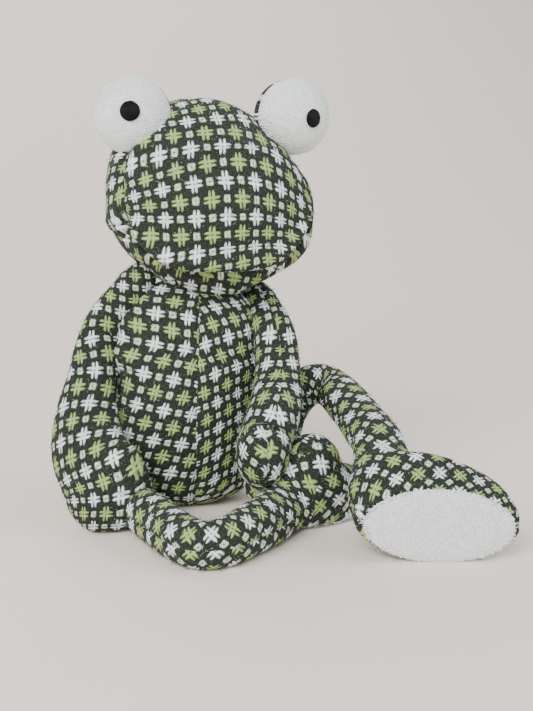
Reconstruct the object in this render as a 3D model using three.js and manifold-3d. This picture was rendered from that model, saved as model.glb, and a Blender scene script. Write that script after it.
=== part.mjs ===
// A sitting plush frog: stuffed head, body and floppy limbs cut from woven check cloth.
// Millimetres, +Z up. The frog faces -Y and its left side is +X. The origin lies on the
// ground under the middle of the seat.
import * as THREE from 'three';
import { mergeVertices } from 'three/addons/utils/BufferGeometryUtils.js';
import Module from 'manifold-3d';

const wasm = await Module();
wasm.setup();

// Cloth, gaps and overruns
const CLOTH = 1.6;
const GAP = 0.3;
const SOCKET_GAP = 0.6;
const TURN_GAP = 0.8;
const SQUASH = 0.5;
const CUT_OVERRUN = 400;

// Body
const BODY_HEIGHT = 128;
const BODY_WIDTH = 84;
const BODY_DEPTH = 70;
const BODY_LEAN = 5;
const BODY_SEAT_ROUND = 18;
const NECK_DIAMETER = 64;
const NECK_OPENING = 26;
const PELLET_BAG_HEIGHT = 34;

// Head and mouth
const HEAD_HEIGHT = 109;
const HEAD_WIDTH = 117;
const HEAD_DEPTH = 97;
const HEAD_BASE_ROUND = 33;
const HEAD_CROWN_ROUND = 42;
const HEAD_LEAN = 14;
const NECK_SINK = 8;
const MOUTH_WIDTH = 98;
const MOUTH_RISE = 26;
const MOUTH_DEPTH = 44;
const JAW_HEIGHT = 18;
const JAW_SETBACK = 3;

// Eyes
const EYE_DIAMETER = 42.6;
const EYE_SPACING = 88;
const EYE_OFFSET = 1;
const EYE_HEIGHT = 99.5;
const EYE_FORWARD = 9;
const EYE_SPLAY = 16;
const PUPIL_WIDTH = 11;
const PUPIL_HEIGHT = 11.6;
const PUPIL_THICKNESS = 1.2;

// Arms
const ARM_LENGTH = 144;
const ARM_WIDTH = 23;
const HAND_WIDTH = 44;
const HAND_DEPTH = 29;
const SHOULDER_RISE = 30;
const SHOULDER_TILT = 8;
const SHOULDER_BEND = 30;
const ELBOW_BEND = 35;

// Legs
const LEG_LENGTH = 180;
const LEG_WIDTH = 25;
const ANKLE_WIDTH = 29;
const HIP_HEIGHT = 13.5;
const HIP_FORWARD = 32;
const HIP_TURN = 40;
const KNEE_BEND = 40;

// Feet
const FOOT_LENGTH = 82;
const FOOT_WIDTH = 39;
const ANKLE_FROM_HEEL = 14;
const ANKLE_ABOVE_SOLE = 30;
const ANKLE_SIDE = 14;
const ANKLE_BEND = 20;
const SOLE_LENGTH = 73;
const SOLE_WIDTH = 36;
const SOLE_THICKNESS = 2;
const SOLE_EDGE_ROUND = 9;
const SOLE_EDGE_CUT = 6;

// How finely the forms are faceted
const BODY_SIDES = 20;
const BODY_RINGS = 11;
const LIMB_SIDES = 14;
const LIMB_RINGS = 10;
const EYE_SIDES = 16;
const SOCKET_SIDES = 24;
const SWEEP_STEPS = 5;
const FINEST = 0.05;
const CURVE_STEPS = 8;
const PROFILE_STEPS = 12;

const UP = new THREE.Vector3(0, 0, 1);
const FORWARD = new THREE.Vector3(0, -1, 0);
const SIDEWAYS = new THREE.Vector3(1, 0, 0);
const GROUND = new THREE.Vector3(0, 0, 0);

// Solids

function toSolid(geometry) {
  const bare = geometry.clone();
  bare.deleteAttribute('normal');
  bare.deleteAttribute('uv');
  const merged = mergeVertices(bare);
  return new wasm.Manifold(new wasm.Mesh({
    numProp: 3,
    vertProperties: new Float32Array(merged.attributes.position.array),
    triVerts: new Uint32Array(merged.index.array),
  }));
}

function toGeometry(solid) {
  const mesh = solid.getMesh();
  const geometry = new THREE.BufferGeometry();
  geometry.setAttribute('position', new THREE.BufferAttribute(new Float32Array(mesh.vertProperties), 3));
  geometry.setIndex(new THREE.BufferAttribute(new Uint32Array(mesh.triVerts), 1));
  geometry.computeVertexNormals();
  return geometry;
}

function largestBody(solid) {
  const bodies = solid.decompose();
  return bodies.reduce((best, body) => (body.volume() > best.volume() ? body : best));
}

function turned(solid, { pivot, axis }, degrees) {
  const turn = new THREE.Matrix4().makeTranslation(pivot.x, pivot.y, pivot.z);
  turn.multiply(new THREE.Matrix4().makeRotationAxis(axis, THREE.MathUtils.degToRad(degrees)));
  turn.multiply(new THREE.Matrix4().makeTranslation(-pivot.x, -pivot.y, -pivot.z));
  return solid.transform(turn.elements);
}

// Room for a neighbour that turns about a hinge, from rest to the given angle.
function clearedForTurn(solid, neighbour, hinge, angle) {
  let cleared = solid;
  for (let step = 0; step <= SWEEP_STEPS; step += 1) {
    cleared = cleared.subtract(turned(neighbour, hinge, (angle * step) / SWEEP_STEPS));
  }
  return largestBody(cleared);
}

function ball(centre, radius, sides) {
  const sphere = new THREE.SphereGeometry(radius, sides, sides / 2);
  sphere.translate(centre.x, centre.y, centre.z);
  return toSolid(sphere);
}

// Everything on the far side of a plane.
function beyondPlane(point, normal) {
  const block = new THREE.BoxGeometry(CUT_OVERRUN, CUT_OVERRUN, CUT_OVERRUN);
  block.translate(0, 0, CUT_OVERRUN / 2);
  block.applyQuaternion(new THREE.Quaternion().setFromUnitVectors(UP, normal.clone().normalize()));
  block.translate(point.x, point.y, point.z);
  return toSolid(block);
}

function restedOnGround(solid) {
  return largestBody(solid.subtract(beyondPlane(GROUND, UP.clone().negate())));
}

// Stuffed forms

// A smooth run through [place, value] pairs of shares.
function profile(shares) {
  const curve = new THREE.SplineCurve(shares.map(([place, value]) => new THREE.Vector2(place, value)));
  const points = curve.getPoints(shares.length * PROFILE_STEPS);
  return (place) => {
    const found = points.findIndex((point) => point.x >= place);
    const next = found < 0 ? points.length - 1 : Math.max(1, found);
    const before = points[next - 1];
    const after = points[next];
    const part = (place - before.x) / (after.x - before.x || 1);
    return THREE.MathUtils.lerp(before.y, after.y, THREE.MathUtils.clamp(part, 0, 1));
  };
}

function rounding(distance, length) {
  const rest = 1 - Math.min(distance / length, 1);
  return Math.sqrt(Math.max(0, 1 - rest * rest));
}

// Elliptical rings along a line, closed to a point at each end. The form follows the line
// between two shares of its length, runs straight on past them for the given reach, and
// rounds off over its own length at each end. Rings stand square to the line unless a fixed
// way is given. A form grows evenly on all sides.
function stuffedForm(form, grow) {
  const { line, from, to, width, depth, facing, way, sides, rings } = form;
  const total = line.getLength();
  const first = from * total - form.startReach - grow;
  const last = to * total + form.endReach + grow;
  const points = [];
  for (let ring = 0; ring <= rings; ring += 1) {
    const along = first + ((last - first) * (1 - Math.cos((Math.PI * ring) / rings))) / 2;
    const share = THREE.MathUtils.clamp(along / total, from, to);
    const tangent = way ?? line.getTangentAt(share);
    const centre = line.getPointAt(share).addScaledVector(tangent, along - share * total);
    if (ring === 0 || ring === rings) {
      points.push(centre);
      continue;
    }
    const side = new THREE.Vector3().crossVectors(tangent, facing).normalize();
    const front = new THREE.Vector3().crossVectors(side, tangent).normalize();
    const round = rounding(along - first, form.startRound + grow)
      * rounding(last - along, form.endRound + grow);
    const halfWidth = (width(share) / 2 + grow) * round;
    const halfDepth = (depth(share) / 2 + grow) * round;
    for (let turn = 0; turn < sides; turn += 1) {
      const angle = (2 * Math.PI * turn) / sides;
      points.push(centre.clone()
        .addScaledVector(side, halfWidth * Math.cos(angle))
        .addScaledVector(front, halfDepth * Math.sin(angle)));
    }
  }
  return toSolid(ringedGeometry(points, sides, rings));
}

function ringedGeometry(points, sides, rings) {
  const faces = [];
  const at = (ring, turn) => 1 + (ring - 1) * sides + (turn % sides);
  const lastPole = points.length - 1;
  for (let turn = 0; turn < sides; turn += 1) {
    faces.push(0, at(1, turn), at(1, turn + 1));
    for (let ring = 1; ring < rings - 1; ring += 1) {
      faces.push(at(ring, turn), at(ring + 1, turn), at(ring + 1, turn + 1));
      faces.push(at(ring, turn), at(ring + 1, turn + 1), at(ring, turn + 1));
    }
    faces.push(at(rings - 1, turn), lastPole, at(rings - 1, turn + 1));
  }
  const geometry = new THREE.BufferGeometry();
  geometry.setAttribute('position', new THREE.Float32BufferAttribute(points.flatMap((p) => p.toArray()), 3));
  geometry.setIndex(faces);
  return geometry;
}

function limbLine(points) {
  return new THREE.CatmullRomCurve3(points, false, 'centripetal');
}

// The shortest way from a point to a faceted surface.
function distanceTo(point, geometry) {
  const position = geometry.attributes.position;
  const index = geometry.index;
  const corners = [new THREE.Vector3(), new THREE.Vector3(), new THREE.Vector3()];
  const nearest = new THREE.Vector3();
  let best = Infinity;
  for (let face = 0; face < index.count; face += 3) {
    corners.forEach((corner, k) => corner.fromBufferAttribute(position, index.getX(face + k)));
    new THREE.Triangle(...corners).closestPointToPoint(point, nearest);
    best = Math.min(best, nearest.distanceTo(point));
  }
  return best;
}

const SEAT_STEP_SHARE = 0.01;

// Slides a ball in along a heading until it rests against a surface.
function seatedBeside(geometry, centre, heading, radius, reach) {
  let near = reach / 2;
  let far = reach * 2;
  while (far - near > GAP * SEAT_STEP_SHARE) {
    const middle = (near + far) / 2;
    const clear = distanceTo(centre.clone().addScaledVector(heading, middle), geometry) >= radius + GAP;
    if (clear) far = middle;
    else near = middle;
  }
  return centre.clone().addScaledVector(heading, far);
}

// Body

const WIDEST_SHARE = 0.45;
const NECK_SHARE = 1 - NECK_DIAMETER / 2 / BODY_HEIGHT;
const SHOULDER_SHARE = 0.65;
const BODY_FULL_SHARES = [[0, 0.86], [0.2, 0.95], [WIDEST_SHARE, 1], [0.6, 0.97], [0.7, 0.91], [1, 0.75]];

const bodyLine = new THREE.CatmullRomCurve3([
  new THREE.Vector3(0, 0, -SQUASH),
  new THREE.Vector3(0, 0, BODY_HEIGHT / 2),
  new THREE.Vector3(BODY_LEAN, 0, BODY_HEIGHT),
]);
const neckCentre = bodyLine.getPointAt(NECK_SHARE);

function bodyForm(grow) {
  const full = profile(BODY_FULL_SHARES);
  const across = (size) => (share) => {
    const neckPart = THREE.MathUtils.smoothstep(share, SHOULDER_SHARE, NECK_SHARE);
    return THREE.MathUtils.lerp(size * full(share), NECK_DIAMETER, neckPart);
  };
  return stuffedForm({
    line: bodyLine,
    from: 0,
    to: NECK_SHARE,
    startReach: 0,
    endReach: NECK_DIAMETER / 2,
    startRound: BODY_SEAT_ROUND,
    endRound: NECK_DIAMETER / 2,
    width: across(BODY_WIDTH),
    depth: across(BODY_DEPTH),
    facing: FORWARD,
    sides: BODY_SIDES,
    rings: BODY_RINGS,
  }, grow);
}

const bodySolid = restedOnGround(bodyForm(0));

function aboveFloor(solid, floor) {
  return largestBody(solid.subtract(beyondPlane(new THREE.Vector3(0, 0, floor), UP.clone().negate())));
}

function neckBore() {
  const bore = new THREE.CylinderGeometry(NECK_OPENING / 2, NECK_OPENING / 2, NECK_DIAMETER, BODY_SIDES);
  bore.rotateX(Math.PI / 2);
  bore.translate(neckCentre.x, neckCentre.y, BODY_HEIGHT);
  return toSolid(bore);
}

function makeBodyCover() {
  return largestBody(bodySolid.subtract(aboveFloor(bodyForm(-CLOTH), CLOTH)).subtract(neckBore()));
}

function makeBodyFilling() {
  return aboveFloor(bodyForm(-CLOTH - GAP), CLOTH + PELLET_BAG_HEIGHT + GAP);
}

function makePelletBag() {
  const lid = beyondPlane(new THREE.Vector3(0, 0, CLOTH + PELLET_BAG_HEIGHT), UP);
  return aboveFloor(bodyForm(-CLOTH - GAP), CLOTH + GAP).subtract(lid);
}

// Head

const HEAD_FULL_SHARES = [[0, 0.7], [0.15, 0.81], [0.3, 0.925], [0.46, 1], [0.62, 0.95], [0.8, 0.88], [1, 0.8]];
const HEAD_SET_SHARES = [[0, -0.08, 0], [0, -0.06, 0.4], [-0.035, 0.02, 0.7], [-0.02, 0.02, 1]];
const SMILE_CURL_SHARE = 0.8;
const SMILE_LIFT_SHARE = 2.5;

const headBase = new THREE.Vector3(HEAD_LEAN, 0, neckCentre.z + NECK_DIAMETER / 2 - NECK_SINK);
const headLine = new THREE.CatmullRomCurve3(HEAD_SET_SHARES.map(([aside, set, up]) => (
  new THREE.Vector3(aside * HEAD_WIDTH, set * HEAD_DEPTH, up * HEAD_HEIGHT).add(headBase)
)));
const neckSocket = ball(neckCentre, NECK_DIAMETER / 2 + SOCKET_GAP, SOCKET_SIDES);

function headForm(grow) {
  const full = profile(HEAD_FULL_SHARES);
  return stuffedForm({
    line: headLine,
    from: 0,
    to: 1,
    startReach: 0,
    endReach: 0,
    startRound: HEAD_BASE_ROUND,
    endRound: HEAD_CROWN_ROUND,
    width: (share) => HEAD_WIDTH * full(share),
    depth: (share) => HEAD_DEPTH * full(share),
    facing: FORWARD,
    sides: BODY_SIDES,
    rings: BODY_RINGS,
  }, grow);
}

// Everything below the smile, as a prism that runs forward out of the head.
function belowSmile(grow) {
  const half = MOUTH_WIDTH / 2;
  const low = headBase.z + JAW_HEIGHT + grow * SMILE_LIFT_SHARE;
  const high = low + MOUTH_RISE;
  const curl = half * SMILE_CURL_SHARE;
  const shape = new THREE.Shape();
  shape.moveTo(-half, high);
  shape.bezierCurveTo(-curl, low, -curl / 2, low, 0, low);
  shape.bezierCurveTo(curl / 2, low, curl, low, half, high);
  shape.lineTo(HEAD_WIDTH, high);
  shape.lineTo(HEAD_WIDTH, low - HEAD_HEIGHT);
  shape.lineTo(-HEAD_WIDTH, low - HEAD_HEIGHT);
  shape.lineTo(-HEAD_WIDTH, high);
  shape.closePath();
  const prism = new THREE.ExtrudeGeometry(shape, {
    depth: HEAD_DEPTH,
    bevelEnabled: false,
    curveSegments: CURVE_STEPS,
  });
  prism.rotateX(Math.PI / 2);
  prism.translate(HEAD_LEAN, MOUTH_DEPTH - HEAD_DEPTH / 2 + grow, 0);
  const corner = (side) => SIDEWAYS.clone().multiplyScalar(side * (half + grow)).add(headBase);
  return toSolid(prism)
    .subtract(beyondPlane(corner(1), SIDEWAYS))
    .subtract(beyondPlane(corner(-1), SIDEWAYS.clone().negate()));
}

function makeHead() {
  return largestBody(headForm(0).subtract(belowSmile(GAP / 2)).subtract(neckSocket));
}

function makeJaw() {
  return largestBody(headForm(-JAW_SETBACK).intersect(belowSmile(-GAP / 2)).subtract(neckSocket));
}

// Eyes

function eyeCentre(side) {
  return new THREE.Vector3(EYE_OFFSET + (side * EYE_SPACING) / 2, -EYE_FORWARD, EYE_HEIGHT).add(headBase);
}

function eyeAim(side) {
  return FORWARD.clone().applyAxisAngle(UP, THREE.MathUtils.degToRad(side * EYE_SPLAY));
}

// One half of the eye: the white front for 1, the checked back for -1.
function makeEyeHalf(side, half) {
  const away = eyeAim(side).multiplyScalar(-half);
  const cut = beyondPlane(eyeCentre(side).addScaledVector(away, -GAP / 2), away);
  return largestBody(ball(eyeCentre(side), EYE_DIAMETER / 2, EYE_SIDES).subtract(cut).subtract(headForm(GAP)));
}

// A curved patch that lies on the eye.
function makePupil(side) {
  const centre = eyeCentre(side);
  const patch = new THREE.CylinderGeometry(PUPIL_WIDTH / 2, PUPIL_WIDTH / 2, EYE_DIAMETER, LIMB_SIDES);
  patch.scale(1, 1, PUPIL_HEIGHT / PUPIL_WIDTH);
  patch.translate(0, -EYE_DIAMETER / 2, 0);
  patch.rotateZ(THREE.MathUtils.degToRad(side * EYE_SPLAY));
  patch.translate(centre.x, centre.y, centre.z);
  const outer = ball(centre, EYE_DIAMETER / 2 + GAP + PUPIL_THICKNESS, EYE_SIDES);
  const inner = ball(centre, EYE_DIAMETER / 2 + GAP, EYE_SIDES);
  return largestBody(outer.intersect(toSolid(patch)).subtract(inner));
}

// Limbs

const HINGE_CUT_SHARE = 1.7;

// Cuts the near piece of a bending limb back from the ball and the turning end of the far one.
function hingedEnd(solid, hinge, radius) {
  const around = ball(hinge.pivot, radius * HINGE_CUT_SHARE, SOCKET_SIDES);
  let cut = solid.subtract(ball(hinge.pivot, radius + SOCKET_GAP, SOCKET_SIDES));
  for (const angle of [0, hinge.bend]) {
    const way = hinge.way.clone().applyAxisAngle(hinge.axis, THREE.MathUtils.degToRad(angle));
    cut = cut.subtract(beyondPlane(hinge.pivot, way).intersect(around));
  }
  return largestBody(cut);
}

// The near piece of a limb runs from its first ball to the hinge. The far one starts with a
// ball on that hinge and runs to the limb's end.
function makeLimb(limb) {
  const { hinge, width, depth, startRadius } = limb;
  const hingeRadius = Math.max(width(hinge.share), depth(hinge.share)) / 2;
  const near = {
    ...limb,
    from: 0,
    to: hinge.share,
    startReach: startRadius,
    endReach: hingeRadius,
    startRound: startRadius,
    endRound: hingeRadius,
    sides: LIMB_SIDES,
    rings: LIMB_RINGS,
  };
  const far = { ...near, from: hinge.share, to: 1, startReach: hingeRadius, startRound: hingeRadius };
  far.endReach = limb.endReach;
  far.endRound = limb.endRound;
  return { near: hingedEnd(stuffedForm(near, 0), hinge, hingeRadius), far: (grow) => stuffedForm(far, grow) };
}

// Arms

const ELBOW_SHARE = 0.4;
const HAND_WIDEN_SHARES = [[0, 0], [0.2, 0.1], [0.33, 0.31], [0.5, 0.58], [0.75, 1], [1, 0.95]];
const HAND_THICKEN_SHARES = [[0, 0], [0.3, 0.1], [0.5, 0.45], [0.75, 1], [1, 0.95]];
const RIGHT_ARM_SHARES = [
  [-0.113, 0, -0.155], [-0.15, -0.063, -0.3], [-0.183, -0.14, -0.44], [-0.184, -0.236, -0.57],
  [-0.146, -0.312, -0.708], [-0.153, -0.361],
];
const LEFT_ARM_SHARES = [
  [0.021, -0.156, -0.096], [0.024, -0.215, -0.186], [0.009, -0.281, -0.289], [-0.028, -0.361, -0.386],
  [-0.072, -0.42, -0.47], [-0.094, -0.56, -0.535],
];
const ARM_HINGE_SHARES = { right: [-0.6, 0.8, 0], left: [-1, 0, 0] };

// The hand of the arm whose last place gives no height comes to rest on the ground.
function makeArm(side, name, shares) {
  const rise = THREE.MathUtils.degToRad(SHOULDER_RISE - side * SHOULDER_TILT);
  const heading = new THREE.Vector3(side * Math.cos(rise), 0, Math.sin(rise));
  const shoulder = neckCentre.clone().addScaledVector(heading, (NECK_DIAMETER + ARM_WIDTH) / 2 + GAP);
  const onGround = -(shoulder.z + SQUASH) / ARM_LENGTH;
  const places = shares.map(([x, y, z = onGround]) => new THREE.Vector3(x, y, z));
  const line = limbLine([shoulder, ...places.map((place) => place.multiplyScalar(ARM_LENGTH).add(shoulder))]);
  const widened = profile(HAND_WIDEN_SHARES);
  const thickened = profile(HAND_THICKEN_SHARES);
  const axis = new THREE.Vector3(...ARM_HINGE_SHARES[name]).normalize();
  const elbow = {
    share: ELBOW_SHARE,
    pivot: line.getPointAt(ELBOW_SHARE),
    way: line.getTangentAt(ELBOW_SHARE),
    axis,
    bend: ELBOW_BEND,
  };
  const { near, far } = makeLimb({
    line,
    width: (share) => THREE.MathUtils.lerp(ARM_WIDTH, HAND_WIDTH, widened(share)),
    depth: (share) => THREE.MathUtils.lerp(ARM_WIDTH, HAND_DEPTH, thickened(share)),
    facing: side > 0 ? SIDEWAYS : FORWARD,
    hinge: elbow,
    startRadius: ARM_WIDTH / 2,
    endReach: 0,
    endRound: HAND_WIDTH / 2,
  });
  const joint = { pivot: shoulder, axis, bend: SHOULDER_BEND };
  return { upper: near, lower: far, shoulder: joint, elbow };
}

// Legs

const KNEE_SHARE = 0.5;
const RIGHT_LEG_SHARES = [
  [0.022, -0.122, 0], [0.04, -0.239, 0], [0.062, -0.317, 0], [0.092, -0.406, 0],
  [0.15, -0.481, 0], [0.225, -0.481, 0], [0.303, -0.422, 0], [0.438, -0.265, 0.012], [0.55, -0.186],
];
const LEFT_LEG_SHARES = [
  [0.052, 0.036, 0.145], [0.1, 0.06, 0.244], [0.161, 0.072, 0.297], [0.211, 0.07, 0.302],
  [0.24, 0.044, 0.289], [0.26, -0.053, 0.26], [0.276, -0.181, 0.22], [0.278, -0.305, 0.185], [0.27, -0.39],
];
const HIP_HINGES = { right: SIDEWAYS, left: UP };

// Places are shares of the leg's length from the hip, with heights above a leg that lies on the
// ground. The last place gives no height: the ankle takes its own.
function legLine(hip, ankleHeight, shares) {
  const lying = LEG_WIDTH / 2 - SQUASH;
  const places = shares.map(([x, y, rise = (ankleHeight - lying) / LEG_LENGTH]) => new THREE.Vector3(
    hip.x + x * LEG_LENGTH,
    hip.y + y * LEG_LENGTH,
    lying + rise * LEG_LENGTH,
  ));
  return limbLine([hip, ...places]);
}

function makeLeg(side, name, shares, ankleHeight) {
  const forward = THREE.MathUtils.degToRad(HIP_FORWARD);
  const heading = new THREE.Vector3(side * Math.cos(forward), -Math.sin(forward), 0);
  const seat = new THREE.Vector3(0, 0, HIP_HEIGHT);
  const hip = seatedBeside(toGeometry(bodySolid), seat, heading, LEG_WIDTH / 2, BODY_WIDTH / 2);
  const line = legLine(hip, ankleHeight, shares);
  const way = line.getTangentAt(KNEE_SHARE);
  const axis = new THREE.Vector3().crossVectors(UP, way).normalize().multiplyScalar(-side);
  const knee = { share: KNEE_SHARE, pivot: line.getPointAt(KNEE_SHARE), way, axis, bend: KNEE_BEND };
  const thicker = (share) => THREE.MathUtils.smoothstep(share, KNEE_SHARE, 1);
  const width = (share) => THREE.MathUtils.lerp(LEG_WIDTH, ANKLE_WIDTH, thicker(share));
  const { near, far } = makeLimb({
    line,
    width,
    depth: width,
    facing: UP,
    hinge: knee,
    startRadius: LEG_WIDTH / 2,
    endReach: ANKLE_WIDTH / 2,
    endRound: ANKLE_WIDTH / 2,
  });
  const joint = { pivot: hip, axis: HIP_HINGES[name], bend: HIP_TURN };
  const end = { pivot: line.getPointAt(1), way: line.getTangentAt(1) };
  return { upper: near, lower: far, hip: joint, knee, end };
}

// Feet

const FOOT_NARROW_SHARES = [[0, 0.04], [0.15, 0], [0.4, 0.12], [0.7, 0.5], [1, 1]];
const FOOT_SWELL_SHARES = [[0, 1], [0.2, 1.12], [0.45, 1.2], [0.7, 1.08], [1, ANKLE_WIDTH / FOOT_WIDTH]];
const FOOT_RISE_SHARES = [[0.47, 0, 0], [0.42, 0.33, 0.5], [0.31, 0.67, 0.75], [0.17, 1, 1]];
const SOLE_PLACE_SHARE = 0.47;
const LEFT_TOE_SHARES = [0.976, -0.208, -0.03];
const RIGHT_TOE_SHARES = [0.75, 0.66, 0];

// Which way the toe, the sole and the side of a foot point, from its ankle.
function footFrame(ankle, toeShares, lean) {
  const toe = new THREE.Vector3(...toeShares).normalize();
  const sole = lean > 0 ? new THREE.Vector3(toe.y, -toe.x, 0).normalize() : UP.clone().negate();
  const across = new THREE.Vector3().crossVectors(toe, sole);
  const heel = ankle.clone()
    .addScaledVector(toe, -ANKLE_FROM_HEEL)
    .addScaledVector(sole, ANKLE_ABOVE_SOLE)
    .addScaledVector(across, lean);
  return { toe, sole, across, heel, ankle, lean };
}

// A foot rises from its sole to a ball at the ankle.
function footForm({ toe, sole, across, heel, ankle, lean }, grow) {
  const places = FOOT_RISE_SHARES.map(([along, rise, aside]) => (
    heel.clone()
      .addScaledVector(toe, along * FOOT_LENGTH)
      .addScaledVector(sole, -rise * ANKLE_ABOVE_SOLE)
      .addScaledVector(across, -aside * lean)
  ));
  places[places.length - 1].copy(ankle);
  const narrow = profile(FOOT_NARROW_SHARES);
  const swell = profile(FOOT_SWELL_SHARES);
  return stuffedForm({
    line: limbLine(places),
    from: 0,
    to: 1,
    startReach: SOLE_EDGE_CUT,
    endReach: ANKLE_WIDTH / 2,
    startRound: SOLE_EDGE_ROUND,
    endRound: ANKLE_WIDTH / 2,
    width: (share) => THREE.MathUtils.lerp(FOOT_LENGTH, ANKLE_WIDTH, narrow(share)),
    depth: (share) => FOOT_WIDTH * swell(share),
    facing: across,
    way: sole.clone().negate(),
    sides: BODY_SIDES,
    rings: LIMB_RINGS,
  }, grow);
}

function makeFoot(frame) {
  return restedOnGround(footForm(frame, 0).subtract(beyondPlane(frame.heel, frame.sole)));
}

function makeSole({ toe, sole, across, heel }) {
  const shape = new THREE.Shape();
  shape.absellipse(0, 0, SOLE_LENGTH / 2, SOLE_WIDTH / 2, 0, 2 * Math.PI);
  const pad = new THREE.ExtrudeGeometry(shape, {
    depth: SOLE_THICKNESS,
    bevelEnabled: false,
    curveSegments: PROFILE_STEPS,
  });
  pad.applyMatrix4(new THREE.Matrix4().makeBasis(toe, across.clone().negate(), sole));
  const place = heel.clone().addScaledVector(toe, SOLE_PLACE_SHARE * FOOT_LENGTH).addScaledVector(sole, GAP);
  pad.translate(place.x, place.y, place.z);
  return restedOnGround(toSolid(pad));
}

// The shin ends in a cup around the ankle's ball, clear of the foot as it turns.
function finishedShin(shin, leg, frame, ankle) {
  const cupped = hingedEnd(shin, { ...leg.end, ...ankle, bend: 0 }, ANKLE_WIDTH / 2);
  return restedOnGround(clearedForTurn(cupped, footForm(frame, GAP), ankle, ankle.bend));
}

// The assembly

const CHECK_COLOUR = 0x6f7d62;
const TERRY_COLOUR = 0xe9ecec;
const THREAD_COLOUR = 0x101214;
const FILLING_COLOUR = 0xf2f2ee;
const CLOTH_ROUGHNESS = 0.95;

const group = new THREE.Group();

function addPiece(name, solid, colour) {
  const material = new THREE.MeshStandardMaterial({ color: colour, roughness: CLOTH_ROUGHNESS, metalness: 0 });
  const mesh = new THREE.Mesh(toGeometry(solid.simplify(FINEST)), material);
  mesh.name = name;
  group.add(mesh);
}

const ankleHeights = {
  right: SOLE_THICKNESS + GAP + ANKLE_ABOVE_SOLE,
  left: FOOT_WIDTH / 2 - SQUASH + ANKLE_SIDE,
};
const arms = {
  right: makeArm(-1, 'right', RIGHT_ARM_SHARES),
  left: makeArm(1, 'left', LEFT_ARM_SHARES),
};
const legs = {
  right: makeLeg(-1, 'right', RIGHT_LEG_SHARES, ankleHeights.right),
  left: makeLeg(1, 'left', LEFT_LEG_SHARES, ankleHeights.left),
};
const feet = {
  right: footFrame(legs.right.end.pivot, RIGHT_TOE_SHARES, 0),
  left: footFrame(legs.left.end.pivot, LEFT_TOE_SHARES, ANKLE_SIDE),
};
const ankles = {
  right: { pivot: legs.right.end.pivot, axis: feet.right.across.clone().negate(), bend: ANKLE_BEND },
  left: { pivot: legs.left.end.pivot, axis: feet.left.across, bend: ANKLE_BEND },
};

// Where soft limbs lie on each other, one of the two gives way, also as they turn apart.
function giveWay(solid, neighbour, turns) {
  return turns.reduce((cut, [hinge, angle]) => clearedForTurn(cut, neighbour, hinge, angle), solid);
}

const rightArmTurns = [
  [arms.right.elbow, arms.right.elbow.bend],
  [arms.right.shoulder, arms.right.shoulder.bend],
  [legs.right.hip, -legs.right.hip.bend],
];
const leftArmTurns = [[arms.left.elbow, -arms.left.elbow.bend], [arms.left.shoulder, -arms.left.shoulder.bend]];
const leftForearm = giveWay(arms.left.lower(0), legs.right.lower(TURN_GAP), leftArmTurns);
const thighs = {
  right: giveWay(legs.right.upper, arms.right.lower(TURN_GAP), rightArmTurns),
  left: clearedForTurn(legs.left.upper, bodyForm(GAP), legs.left.hip, -legs.left.hip.bend),
};
const forearms = {
  right: arms.right.lower(0),
  left: giveWay(leftForearm, footForm(feet.right, TURN_GAP), [...leftArmTurns, [ankles.right, ANKLE_BEND]]),
};

addPiece('body_cover', makeBodyCover(), CHECK_COLOUR);
addPiece('body_filling', makeBodyFilling(), FILLING_COLOUR);
addPiece('pellet_bag', makePelletBag(), FILLING_COLOUR);
addPiece('head', makeHead(), CHECK_COLOUR);
addPiece('lower_jaw', makeJaw(), CHECK_COLOUR);
for (const [side, name] of [[-1, 'right'], [1, 'left']]) {
  addPiece(`${name}_eye_front`, makeEyeHalf(side, 1), TERRY_COLOUR);
  addPiece(`${name}_eye_back`, makeEyeHalf(side, -1), CHECK_COLOUR);
  addPiece(`${name}_pupil`, makePupil(side), THREAD_COLOUR);
  addPiece(`${name}_upper_arm`, arms[name].upper, CHECK_COLOUR);
  addPiece(`${name}_forearm`, restedOnGround(forearms[name]), CHECK_COLOUR);
  addPiece(`${name}_thigh`, restedOnGround(thighs[name]), CHECK_COLOUR);
  const shin = legs[name].lower(0);
  addPiece(`${name}_shin`, finishedShin(shin, legs[name], feet[name], ankles[name]), CHECK_COLOUR);
  addPiece(`${name}_foot`, makeFoot(feet[name]), CHECK_COLOUR);
  addPiece(`${name}_sole`, makeSole(feet[name]), TERRY_COLOUR);
}

export default group;
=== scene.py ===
"""A plush frog of woven check cloth, sat down with its floppy limbs round it."""
import bisect
import math
import random

import bmesh
import bpy
from mathutils import Matrix, Vector, geometry, noise
from mathutils.bvhtree import BVHTree


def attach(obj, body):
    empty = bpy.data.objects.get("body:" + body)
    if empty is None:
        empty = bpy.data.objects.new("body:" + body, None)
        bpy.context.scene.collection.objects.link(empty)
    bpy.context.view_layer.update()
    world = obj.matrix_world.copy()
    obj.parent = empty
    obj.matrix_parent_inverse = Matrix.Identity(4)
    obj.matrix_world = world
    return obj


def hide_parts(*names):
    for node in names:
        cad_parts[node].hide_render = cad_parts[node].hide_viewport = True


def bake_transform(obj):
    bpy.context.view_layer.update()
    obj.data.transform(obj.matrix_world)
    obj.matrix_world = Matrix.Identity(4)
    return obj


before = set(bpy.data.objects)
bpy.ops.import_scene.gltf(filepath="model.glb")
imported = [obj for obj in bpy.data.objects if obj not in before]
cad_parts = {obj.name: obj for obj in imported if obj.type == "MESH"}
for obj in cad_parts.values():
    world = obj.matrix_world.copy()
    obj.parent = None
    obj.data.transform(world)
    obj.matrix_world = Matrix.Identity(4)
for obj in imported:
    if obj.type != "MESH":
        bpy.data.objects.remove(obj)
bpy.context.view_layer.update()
scene = bpy.context.scene
MM = 0.001

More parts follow.
